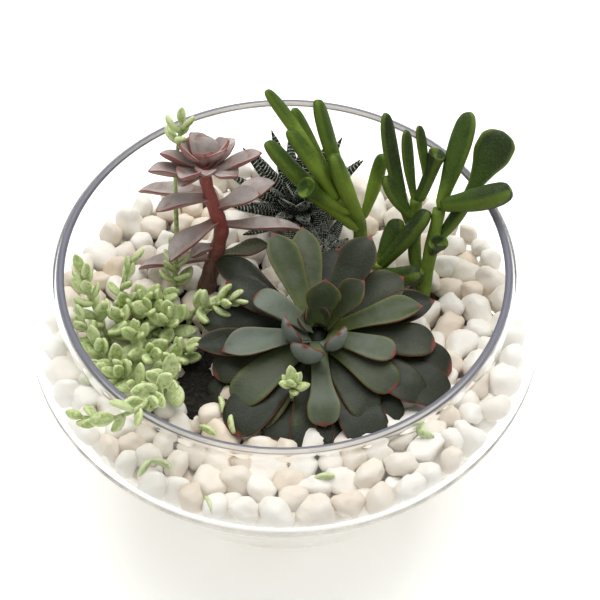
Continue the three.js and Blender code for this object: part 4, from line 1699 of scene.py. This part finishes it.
@dataclass
class MauveRosette:
    """The small mauve rosette on its bare red stem.

    A leaf has its start, its tip, its width and the degrees that it curls.
    """

    axis: Point = (0.05, 0.3, 1.0)
    form: LeafForm = LeafForm(
        Outline.BLADE, 3.6, rise=0.3, cup=0.16, fold=0.3, tip_turn=-16, ripple=0.06, stations=26, around=18
    )
    widening: float = 1.12
    wander: float = 8.0  # degrees of twist
    last_phase: float = 6.3
    tone_range: float = 0.3
    olive_tone: float = 1.1
    stem: Sequence[Point] = (
        (-48, 27, 74), (-48, 27, 100), (-42, 38, 120), (-38, 44, 138),
        (-42, 46, 154), (-46, 52, 170), (-47, 55, 181),
    )
    stem_radii: Sequence[tuple[float, float]] = (
        (98, 5.0), (106, 5.6), (122, 4.6), (150, 4.1), (181, 3.4),
    )  # height and radius
    stem_steps: int = 60
    stem_sides: int = 16
    scars: int = 9
    scar_depths: tuple[float, float] = (0.06, 0.015)  # even and uneven shares of the radius
    seed: int = 4
    leaves: Sequence[tuple[Any, ...]] = (
        ((-49, 57, 180), (-60, 59, 194), 18, 20), ((-45, 58, 180), (-34, 57, 193), 17, 16),
        ((-46, 56, 179), (-45, 68, 192), 16, 14), ((-48, 55, 180), (-46, 54, 192), 11, 10),
        ((-45, 54, 178), (-27, 46, 182), 15, 14), ((-48, 53, 178), (-60, 42, 184), 16, 16),
        ((-47, 57, 178), (-54, 68, 195), 15, 14), ((-45, 57, 178), (-33, 64, 193), 15, 16),
        ((-43, 54, 176), (-14, 58, 190), 12, 24), ((-47, 52, 176), (-62, 47, 173), 14, -26),
        ((-46, 52, 178), (-45, 43, 185), 12, -30), ((-49, 53, 176), (-79, 52, 181), 15, 20),
        ((-49, 57, 176), (-72, 60, 187), 11, 14), ((-46, 55, 176), (-30, 74, 184), 13, 14),
        ((-43, 52, 160), (-90, 76, 138), 14, 10), ((-43, 48, 160), (-76, 41, 158), 13, -10),
        ((-41, 46, 154), (-15, 53, 160), 14, 14), ((-40, 47, 150), (-6, 70, 152), 14, 8),
        ((-40, 48, 148), (-52, 68, 148), 13, 8), ((-40, 44, 144), (-69, 22, 134), 16, -10),
        ((-38, 45, 140), (11, 50, 132), 12, 8), ((-44, 37, 118), (-90, 40, 107), 14, -4),
        ((-42, 40, 126), (-57, 36, 121), 11, -8),
    )
    olive_leaf: tuple[Any, ...] = ((-40, 38, 120), (-10, 42, 126), 12, 26)

    def build(self) -> None:
        """Makes the rosette and its stem and joins them up."""
        draw = np.random.default_rng(self.seed)
        skin = Skin()
        for row in (*self.leaves, self.olive_leaf):
            start, end, width, curl = row
            heading, length = reach(start, end, self.axis, curl)
            wide = width * self.widening
            twist, phase = draw.normal(0, self.wander), draw.uniform(0, self.last_phase)
            rings, stored = self.form.rings(start, heading, self.axis, length, wide, curl, twist, phase)
            age = self.olive_tone if row is self.olive_leaf else self.tone_range * draw.uniform()
            skin.add(rings, tone=age, **stored)
        finish = BroadLeaf(
            "mauve_rosette",
            upper=colour(146, 134, 128),
            bloom=colour(190, 182, 178),
            lower=colour(134, 92, 84),
            base=colour(148, 112, 102),
            edge=colour(134, 70, 66),
            deep=colour(72, 76, 48),
            frost=colour(150, 142, 138),
            edge_from=0.95,
            lit_margin=0.2,
            mottle=0.9,
        )
        join_up(skin.make("echeveria_purple_leaves", finish.make()), ["echeveria_purple"])
        stem = Skin()
        stem.add(self._stem_rings(draw))
        join_up(stem.make("echeveria_purple_stem", RedStem().make()), ["echeveria_purple"])

    def _stem_rings(self, draw: np.random.Generator) -> np.ndarray:
        """The stem, thicker at the scars that fallen leaves have left.

        Args:
            draw: The random source.

        Returns:
            The rings' points.
        """
        path = spline(self.stem, self.stem_steps)
        even, uneven = self.scar_depths
        wave = np.sin(np.linspace(0, 2 * math.pi * self.scars, len(path)))
        swell = 1 + even * wave + draw.normal(0, uneven, len(path))
        heights, radii = zip(*self.stem_radii)
        return tube_rings(path, np.interp(path[:, 2], heights, radii) * swell, self.stem_sides)


@dataclass
class FingerPlant:
    """A green plant with leaves like fingers, clubs and trumpets.

    A stem has its path and its radius at the foot and the end. A leaf has its start, its tip, its width and
    the degrees that it curls, then its outline if not a finger's, and which way its upper face looks.
    """

    MOUTH = ((0.86, 0.02), (0.66, 0.28), (0.36, 0.55))  # of a trumpet: radius and depth, over its width

    node: str
    stems: Sequence[tuple[Sequence[Point], float, float]]
    leaves: Sequence[tuple[Any, ...]]
    form: LeafForm = LeafForm(Outline.FINGER, 1.0, stations=26, around=18, squareness=0.95)
    axis: Point = (0.0, 0.2, 1.0)
    toward_front: Point = (0.0, -0.6, 0.8)
    fatness: float = 0.8  # thickness over width of a finger
    flatness: float = 0.42  # the same of a paddle
    tones: tuple[float, float] = (0.6, 1.2)
    stem_steps: int = 24
    stem_sides: int = 14
    stem_swell: tuple[float, float] = (0.05, 20.0)  # share of the radius, and radians along the stem
    stem_tones: tuple[float, float] = (0.4, 0.8)
    seed: int = 6

    def build(self, material: bpy.types.Material) -> None:
        """Makes the plant and joins it up.

        Args:
            material: The finish of leaves and stems.
        """
        draw = np.random.default_rng(self.seed)
        skin = Skin()
        swell, waves = self.stem_swell
        for path, foot, end in self.stems:
            line = spline(path, self.stem_steps)
            wave = 1 + swell * np.sin(np.linspace(0, waves, len(line)))
            rings = tube_rings(line, np.linspace(foot, end, len(line)) * wave, self.stem_sides)
            skin.add(rings, along=0.12, tone=draw.uniform(*self.stem_tones))
        for start, end, width, curl, *kind in self.leaves:
            outline = kind[0] if kind else Outline.FINGER
            broad = outline is Outline.PADDLE
            up = kind[1] if len(kind) > 1 else (self.toward_front if broad else self.axis)
            thick = width * (self.flatness if broad else self.fatness)
            form = replace(self.form, outline=outline, thickness=thick)
            heading, length = reach(start, end, up, curl)
            rings, stored = form.rings(start, heading, up, length, width, curl)
            if outline is Outline.TRUMPET:
                rings, stored = self._dished(rings, stored)
            skin.add(rings, tone=draw.uniform(*self.tones), **stored)
        join_up(skin.make(self.node + "_leaves", material), [self.node])

    def _dished(
        self, rings: np.ndarray, stored: dict[str, np.ndarray]
    ) -> tuple[np.ndarray, dict[str, np.ndarray]]:
        """Sinks the end of a leaf like the mouth of a trumpet.

        Args:
            rings: The leaf's points.
            stored: What they store.

        Returns:
            Both with the rings of the mouth added.
        """
        middle = rings[-1].mean(0)
        back = unit(rings[-4].mean(0) - middle)
        wide = np.linalg.norm(rings[-1] - middle, axis=1).max()
        mouth = [middle + (rings[-1] - middle) * share + back * wide * depth for share, depth in self.MOUTH]
        longer = {
            key: np.vstack([value, np.repeat(value[-1:], len(mouth), axis=0)])
            for key, value in stored.items()
        }
        return np.concatenate([rings, mouth]), longer


FINGER_PLANTS = (
    FingerPlant(
        "crassula_left",
        ((((46, 66, 74), (46, 66, 104), (44, 67, 120), (33, 70, 136)), 5.0, 3.6),),
        (
            ((31, 72, 136), (-11, 97, 200), 9.5, -10), ((31, 74, 138), (5, 96, 186), 9, 8),
            ((31, 69, 134), (2, 84, 180), 11.5, -8), ((40, 71, 128), (19, 93, 196), 11, 10),
            ((44, 63, 114), (-11, 82, 172), 12.5, 12),
            ((39, 66, 126), (12, 61, 155), 13.0, 64, Outline.TRUMPET, (0.59, -0.7, 0.4)),
            ((37, 70, 130), (4, 80, 150), 6, -10), ((43, 65, 116), (14, 70, 138), 6.5, 8),
            ((46, 66, 118), (28, 75, 168), 13, 6), ((47, 68, 118), (58, 83, 160), 10, 10),
        ),
        tones=(-0.6, 0.0),
    ),
    FingerPlant(
        "crassula_right",
        (
            (((83, 25, 74), (83, 25, 104), (87, 37, 128), (91, 48, 150)), 5.0, 3.8),
            (((84, 27, 104), (78, 38, 116), (78, 52, 132), (78, 59, 147)), 4.0, 3.6),
        ),
        (
            ((77, 48, 126), (59, 86, 192), 10, 26), ((78, 57, 142), (71, 78, 186), 7.5, 22),
            ((83, 62, 160), (78, 76, 192), 6.5, -8),
            ((79, 58, 146), (89, 67, 178), 12.5, 8, Outline.TRUMPET),
            ((91, 49, 150), (107, 79, 200), 14, 4),
            ((107, 49, 158), (127, 72.5, 190.5), 22.5, 4, Outline.PADDLE),
            ((92, 47, 155), (129, 35, 181), 17, 10), ((88, 39, 128), (108, 50, 161), 10, 18),
            ((78, 53, 134), (60, 68, 157), 11, 30), ((87, 36, 126), (90, 28, 143), 12, 10, Outline.TRUMPET),
        ),
        seed=7,
    ),
    FingerPlant(
        "crassula_offshoot",
        ((((56, 36, 74), (56, 36, 100), (56, 37, 114)), 4.4, 3.6),),
        (
            ((56, 36, 110), (84, 46, 151), 12.5, 8), ((56, 38, 110), (68, 54, 134), 13, 10),
            ((57, 34, 108), (80, 20, 125), 14, 30),
        ),
        seed=8,
    ),
)


@dataclass
class BandedTuft:
    """The dark tuft of pointed leaves with rows of white beads, and a small one beside it.

    A whorl is a count of leaves, the degrees that they rise, their length and width, and the degrees that
    they curl.
    """

    crown: Point = (8.0, 92.0, 106.0)
    offset: Point = (23.0, 57.0, 104.0)
    core: Core = Core(5.0, 6.0)
    form: LeafForm = LeafForm(Outline.LANCE, 4.2, rise=0.3, stations=22, around=14, squareness=1.0)
    whorls: Sequence[tuple[int, float, float, float, float]] = (
        (11, 14, 45, 9.5, 18), (11, 32, 48, 9.5, 12), (9, 50, 44, 9, 8), (6, 68, 34, 8, 6),
    )
    offset_whorls: Sequence[tuple[int, float, float, float, float]] = (
        (7, 36, 24, 8, 20), (6, 56, 24, 7.5, 10), (4, 72, 20, 6.5, 6),
    )
    right_side: tuple[float, float] = (0.35, 0.1)  # least share of +X and most of +Y
    right_room: float = 0.7
    front_side: float = -0.4  # most share of +Y
    front_room: tuple[float, float] = (1.14, 0.82)  # for the lowest whorl and the others
    stem: Sequence[Point] = ((8, 92, 74), (8, 92, 96), (8, 92, 107))
    stem_radii: tuple[float, float] = (5.0, 7.0)
    stem_steps: int = 8
    stem_sides: int = 12
    bands: int = 19
    first_band: int = 4
    band_shift: float = 0.25
    bead_share: float = 0.6
    bead_breadth: tuple[float, float, float] = (0.26, 0.2, 0.45)  # over the gap, least and most
    bead_height: float = 0.24
    seed: int = 9

    def build(self, tree: bpy.types.NodeTree) -> None:
        """Makes the leaves and their beads and joins them up.

        Args:
            tree: The tree that sets shapes on points.
        """
        draw = np.random.default_rng(self.seed)
        skin = Skin()
        beads: list[tuple[np.ndarray, ...]] = []
        both = [(self.crown, *row) for row in self.whorls]
        both += [(self.offset, *row) for row in self.offset_whorls]
        for whorl, (crown, count, rise, length, width, curl) in enumerate(both):
            for k in range(count):
                a, r = 2 * math.pi * (k + 0.5 * whorl) / count, math.radians(rise)
                out = np.array([math.cos(a), math.sin(a), 0.0])
                heading = out * math.cos(r) + np.array([0, 0, math.sin(r)])
                start = np.asarray(crown) + self.core.foot(out, rise)
                reach_out = length * self._room(out, whorl)
                rings, stored = self.form.rings(start, heading, (0, 0, 1), reach_out, width, curl)
                skin.add(rings, tone=draw.uniform(), **stored)
                beads += self._bead_rows(rings, stored["along"][:, 0], draw)
        path = spline(self.stem, self.stem_steps)
        stem = tube_rings(path, np.linspace(*self.stem_radii, len(path)), self.stem_sides)
        skin.add(stem, along=0.1, tone=0.5)
        leaves = skin.make("haworthia_leaves", BandedLeaf(bands=self.bands).make())
        join_up(leaves, ["haworthia"])
        bead = bpy.data.objects.new("bead", icosphere("bead", 1))
        places, sizes, turns = (np.vstack(column) for column in zip(*beads))
        seedbed = points_object(
            "haworthia_beads", places, size=sizes * MM, turn=turns, pick=np.zeros(len(places), int)
        )
        white = PlainSkin("white_beads", colour(216, 220, 210), colour(184, 192, 176), 0.5)
        pool = shape_collection("beads", [bead])
        piece = grown("haworthia_beads", seedbed, tree, Shapes=pool, Material=white.make())
        join_up(piece, ["haworthia"])

    def _room(self, out: np.ndarray, whorl: int) -> float:
        """How long a leaf may grow that way, where the neighbours leave less room on two sides.

        Args:
            out: The level way that the leaf points.
            whorl: The number of its whorl, from 0 at the bottom.

        Returns:
            The share of its full length.
        """
        least_right, most_back = self.right_side
        if out[0] > least_right and out[1] < most_back:
            return self.right_room
        if out[1] < self.front_side:
            return self.front_room[0] if whorl == 0 else self.front_room[1]
        return 1.0

    def _bead_rows(
        self, rings: np.ndarray, along: np.ndarray, draw: np.random.Generator
    ) -> list[tuple[np.ndarray, ...]]:
        """Rows of beads across both faces of a leaf.

        Args:
            rings: The leaf's points.
            along: The share of the length at each ring.
            draw: The random source.

        Returns:
            The places, sizes and turns of each row.
        """
        around = rings.shape[1]
        rows = []
        for place in (np.arange(self.first_band, self.bands - 1) + self.band_shift) / self.bands:
            k = min(np.searchsorted(along, place), len(along) - 1)
            share = (place - along[k - 1]) / (along[k] - along[k - 1])
            ring = rings[k - 1] * (1 - share) + rings[k] * share
            picks = np.flatnonzero(draw.uniform(size=around) < self.bead_share)
            tangent = ring[(picks + 1) % around] - ring[picks - 1]
            wide, least, most = self.bead_breadth
            breadth = np.clip(np.linalg.norm(tangent, axis=1) * wide, least, most)
            height = np.full(len(picks), self.bead_height)
            pitch = -np.arctan2(tangent[:, 2], np.hypot(tangent[:, 0], tangent[:, 1]))
            yaw = np.arctan2(tangent[:, 1], tangent[:, 0])
            sizes = np.column_stack([breadth, height, height])
            turns = np.column_stack([np.zeros(len(picks)), pitch, yaw])
            rows.append((ring[picks], sizes, turns))
        return rows


@dataclass(frozen=True)
class LeafyStem:
    """One pale plant with plump leaves."""

    name: str
    points: Sequence[Point]
    leafy: Sequence[tuple[float, float]]  # the shares of the stem that carry leaves
    pitch: float
    leaf: float = 16.5
    branches: Sequence[Sequence[Point]] = ()


LEAFY_STEMS = (
    LeafyStem(
        "tall",
        (
            (-66, 22, 74), (-66, 23, 104), (-66, 28, 116), (-65, 45, 134),
            (-65, 56, 152), (-64, 65, 172), (-60, 78, 194),
        ),
        ((0.24, 0.42), (0.87, 1.0)),
        2.2,
        14.5,
    ),
    LeafyStem(
        "thin", ((-96, -2, 74), (-96, -2, 104), (-96, 5, 126), (-90, 15, 142)), ((0.48, 1.0),), 5.6, 14.0
    ),
    LeafyStem(
        "left", ((-100, -20, 74), (-103, -18, 106), (-111, -8, 130), (-116, -2, 152)), ((0.42, 1.0),), 3.0,
        branches=(((-103, -18, 104), (-110, -22, 114), (-117, -20, 128)),),
    ),
    LeafyStem(
        "middle", ((-84, -20, 74), (-84, -20, 104), (-86, -24, 126)), ((0.55, 1.0),), 2.5,
        branches=(
            ((-84, -20, 102), (-92, -14, 112), (-97, -12, 124)),
            ((-84, -20, 102), (-79, -30, 112), (-77, -37, 121)),
        ),
    ),
    LeafyStem(
        "outer", ((-100, -36, 74), (-103, -36, 104), (-108, -32, 122)), ((0.55, 1.0),), 2.5,
        branches=(((-103, -36, 102), (-97, -39, 112), (-95, -42, 121)),),
    ),
    LeafyStem(
        "front_left", ((-88, -46, 74), (-90, -47, 104), (-94, -49, 119)), ((0.6, 1.0),), 2.5,
        branches=(((-90, -47, 102), (-98, -45, 110), (-104, -45, 117)),),
    ),
    LeafyStem(
        "inner", ((-68, -8, 74), (-68, -8, 104), (-68, -13, 126)), ((0.55, 1.0),), 2.5,
        branches=(((-68, -8, 102), (-75, -3, 113), (-79, -7, 125)),),
    ),
    LeafyStem(
        "right", ((-63, -28, 74), (-62, -28, 104), (-57, -30, 118)), ((0.6, 1.0),), 2.5,
        branches=(((-63, -28, 102), (-66, -36, 111), (-66, -43, 119)),),
    ),
    LeafyStem(
        "front", ((-74, -56, 74), (-75, -58, 104), (-77, -62, 119)), ((0.6, 1.0),), 2.5,
        branches=(((-75, -57, 102), (-82, -55, 111), (-86, -57, 118)),),
    ),
    LeafyStem(
        "back", ((-82, 8, 74), (-82, 8, 104), (-82, 5, 121)), ((0.6, 1.0),), 2.5,
        branches=(
            ((-82, 8, 102), (-90, 2, 112), (-92, -3, 122)),
            ((-82, 8, 102), (-75, 8, 112), (-71, 5, 121)),
        ),
    ),
    LeafyStem("sprig", ((-57, 2, 74), (-57, 2, 104), (-48, -1, 119), (-29, -5, 131)), ((0.5, 1.0),), 3.0),
    LeafyStem("front_sprig", ((4, -62, 74), (4, -62, 108), (5, -64, 131)), ((0.86, 1.0),), 0.9, 13.0),
    LeafyStem(
        "trailing",
        (
            (-60, -42, 74), (-62, -46, 104), (-69, -72, 140),
            (-76, -104, 165), (-93, -110, 162), (-112, -98, 147),
        ),
        ((0.26, 1.0),),
        5.0,
    ),
)


@dataclass
class LeafyStems:
    """The pale green stems with plump leaves in spirals."""

    stems: Sequence[LeafyStem] = LEAFY_STEMS
    radius: float = 1.7
    form: LeafForm = LeafForm(Outline.PLUMP, 0.31, rise=0.34, stations=12, around=12, squareness=0.95)
    kinds: Sequence[tuple[float, float]] = ((20, 0.56), (36, 0.6), (8, 0.52))  # curl, and width over length
    tone_step: float = 0.3
    line_steps: int = 60
    bare: float = 0.3  # share of a branch, from its foot, without leaves
    first_seed: int = 20

    def leaf_shapes(self, material: bpy.types.Material) -> list[bpy.types.Object]:
        """Leaves of length one, pointing up with their upper face towards -X.

        Args:
            material: Their finish.

        Returns:
            A leaf of each kind.
        """
        made = []
        for k, (curl, width) in enumerate(self.kinds):
            skin = Skin()
            rings, stored = self.form.rings((0, 0, 0), (0.0, 0.0, 1.0), (-1.0, 0.0, 0.0), 1.0, width, curl)
            skin.add(rings / MM, tone=self.tone_step + self.tone_step * k, **stored)
            made.append(skin.make(f"plump_leaf_{k}", material))
        return made

    def build(self, material: bpy.types.Material) -> bpy.types.Collection:
        """Makes every stem and joins it up.

        Args:
            material: The finish of leaves and stems.

        Returns:
            The collection of single leaves.
        """
        tree = leafy_tree()
        leaves = shape_collection("plump_leaves", self.leaf_shapes(material))
        for k, stem in enumerate(self.stems):
            name = "sedum_" + stem.name
            piece = grown(
                name + "_leaves",
                self._lines(stem),
                tree,
                Leaves=leaves,
                Material=material,
                Pitch=stem.pitch * MM,
                Stem_Radius=self.radius * MM,
                Leaf_Size=stem.leaf * MM,
                Seed=self.first_seed + k,
            )
            join_up(piece, [name])
        return leaves

    def _lines(self, stem: LeafyStem) -> bpy.types.Object:
        """The lines of a stem and its branches, storing where leaves stand.

        Args:
            stem: The stem.

        Returns:
            An object of bare edges.
        """
        steps = self.line_steps
        share = np.linspace(0, 1, steps + 1)
        places, edges, leafy, reached = [], [], [], []
        branches = [(line, ((self.bare, 1.0),)) for line in stem.branches]
        for points, spans in [(stem.points, stem.leafy)] + branches:
            first = (steps + 1) * len(places)
            places.append(spline(points, steps) * MM)
            edges += [(first + i, first + i + 1) for i in range(steps)]
            on, at = np.zeros(steps + 1), np.zeros(steps + 1)
            for start, end in spans:
                within = (share >= start) & (share <= end)
                on[within] = 1.0
                at[within] = (share[within] - start) / (end - start)
            leafy.append(on)
            reached.append(at)
        mesh = bpy.data.meshes.new("line")
        mesh.from_pydata(np.vstack(places), edges, [])
        for key, values in (("leafy", leafy), ("reached", reached)):
            mesh.attributes.new(key, "FLOAT", "POINT").data.foreach_set("value", np.concatenate(values))
        return placed("line", mesh)


@dataclass
class FallenLeaves:
    """Single plump leaves that have dropped on the pebbles, at (x, y, z, turn in degrees)."""

    places: Sequence[tuple[float, float, float, float]]
    length: float = 12.0
    lie: float = 84.0  # degrees from upright
    tone: float = 0.2

    def build(
        self, tree: bpy.types.NodeTree, leaves: bpy.types.Collection, material: bpy.types.Material
    ) -> None:
        """Makes the leaves and joins them up.

        Args:
            tree: The tree that sets shapes on points.
            leaves: The single leaves to pick from.
            material: Their finish.
        """
        spots = np.array([place[:3] for place in self.places], float)
        lie = math.radians(self.lie)
        count = len(spots)
        seedbed = points_object(
            "fallen",
            spots,
            turn=np.array([(lie, 0.0, math.radians(place[3])) for place in self.places]),
            size=np.full((count, 3), self.length * MM),
            pick=np.arange(count) % len(leaves.objects),
            tone=np.full(count, self.tone),
        )
        piece = grown("fallen_leaves", seedbed, tree, Shapes=leaves, Material=material)
        join_up(piece)


# Studio


@dataclass
class Studio:
    """The pale floor, the soft light and the camera, which looks from the front.

    The floor and the lamp are in metres, the target and the distance of the camera in millimetres. Rays may
    bounce often, because each wall of the glass takes two passes and the rim throws them round inside it.
    """

    elevation: float = 51.8
    target: Point = (8.7, 9.9, 112.0)
    distance: float = 1069.0
    lens: float = 108.0
    sensor: float = 36.0
    seen: tuple[float, float] = (0.05, 20.0)  # nearest and farthest
    floor_size: float = 16.0
    floor_drop: float = 0.0003
    floor_glow: float = 0.42
    sky_strength: float = 0.5
    lamp_place: Point = (0.1, 0.9, 2.1)
    lamp_aim: Point = (0.0, 0.0, 0.1)
    lamp_size: float = 2.4
    lamp_power: float = 62.0
    bounces: int = 32

    def build(self) -> None:
        """Sets up floor, lamps, surroundings and camera."""
        self._floor()
        self._world()
        self._lamp()
        tilt = math.radians(self.elevation)
        back = np.array([0.0, -math.cos(tilt), math.sin(tilt)])
        camera = placed("camera", bpy.data.cameras.new("camera"))
        camera.data.lens = self.lens
        camera.data.sensor_width = self.sensor
        camera.location = (np.asarray(self.target) + back * self.distance) * MM
        camera.rotation_mode = "QUATERNION"
        camera.rotation_quaternion = Vector(-back).to_track_quat("-Z", "Y")
        camera.data.clip_start, camera.data.clip_end = self.seen
        bpy.context.scene.camera = camera
        bpy.context.scene.view_settings.view_transform = "Standard"
        cycles = bpy.context.scene.cycles
        cycles.max_bounces = self.bounces
        cycles.transmission_bounces = self.bounces
        cycles.glossy_bounces = self.bounces

    def _floor(self) -> None:
        """A plain pale floor that glows a little."""
        mesh = bpy.data.meshes.new("floor")
        half = self.floor_size / 2
        corners = [(-half, -half), (half, -half), (half, half), (-half, half)]
        mesh.from_pydata([(x, y, -self.floor_drop) for x, y in corners], [], [(0, 1, 2, 3)])
        paint = PlainSkin(
            "pale_floor",
            colour(244, 244, 240),
            colour(247, 247, 244),
            roughness=0.8,
            scale=3.0,
            depth=0.0,
            glow=self.floor_glow,
        )
        mesh.materials.append(paint.make())
        placed("floor", mesh)

    def _world(self) -> None:
        """Even white surroundings."""
        world = bpy.data.worlds.new("surroundings")
        world.use_nodes = True
        sky = world.node_tree.nodes["Background"]
        sky.inputs["Color"].default_value = (1.0, 1.0, 1.0, 1.0)
        sky.inputs["Strength"].default_value = self.sky_strength
        bpy.context.scene.world = world

    def _lamp(self) -> None:
        """A large soft lamp over the back of the bowl."""
        data = bpy.data.lights.new("key", "AREA")
        data.size = self.lamp_size
        data.energy = self.lamp_power
        lamp = placed("key", data)
        lamp.location = self.lamp_place
        lamp.rotation_mode = "QUATERNION"
        way = Vector(self.lamp_aim) - Vector(self.lamp_place)
        lamp.rotation_quaternion = way.to_track_quat("-Z", "Y")


# Places

# (x, y, radius) that the pebbles leave free; those at (-48, -27) and (-4, -81) make room for soil heaps
# that are painted shade
PEBBLE_FREE_PLACES = (
    (19, -17, 12), (-48, 27, 5), (46, 66, 5), (83, 25, 5), (56, 36, 4.5), (8, 92, 6),
    (-66, 22, 2), (-96, -2, 2), (-101, -19, 2), (-84, -20, 2), (-102, -36, 2), (-89, -46, 2),
    (-68, -8, 2), (-63, -28, 2), (-75, -57, 2), (-82, 8, 2), (-57, 2, 2), (4, -62, 2), (-61, -44, 2),
    (-50, -52, 11), (23, 57, 6), (-48, -27, 9), (-4, -81, 5), (47, -80, 4),
)
# (x, y, radius, top); the heaps at (-48, -28) and (-4, -76) are dark soil put in as painted shade under the
# leaves
SOIL_AND_SHADE_HEAPS = (
    (19, -22, 56, 95), (-74, -16, 42, 94), (-48, 27, 20, 96), (10, 88, 22, 92),
    (-50, -51, 20, 105), (-48, -28, 16, 104), (-4, -76, 15, 103),
)
# (x, y, z, turn in degrees)
FALLEN = (
    (-37.5, -59, 110, 20), (-29, -65, 111, 120), (-48, -80.5, 112, 60), (-28, -85, 112, 200),
    (-72, -104, 113.5, 80), (-79, -114, 114, 150), (-42.5, -128, 115, 30), (83, -87, 112.5, 260),
    (16, -116, 114, 100),
)


def main() -> None:
    """Builds every piece in order."""
    logging.basicConfig(level=logging.INFO, format="%(name)s %(message)s")
    Studio().build()
    bowl = GlassBowl()
    bowl.build()
    placing = placing_tree()
    Pebbles(bowl, PEBBLE_FREE_PLACES).build(placing)
    Soil(SOIL_AND_SHADE_HEAPS).build()
    LargeRosette().build()
    MauveRosette().build()
    green = JuicyLeaf(
        "green_finger",
        foot=colour(126, 150, 54),
        middle=colour(66, 88, 30),
        end=colour(42, 54, 26),
        fleck=colour(96, 112, 64),
    ).make()
    for plant in FINGER_PLANTS:
        plant.build(green)
    BandedTuft().build(placing)
    pale = FrostedLeaf().make()
    leaves = LeafyStems().build(pale)
    FallenLeaves(FALLEN).build(placing, leaves, pale)


if __name__ == "__main__":
    main()
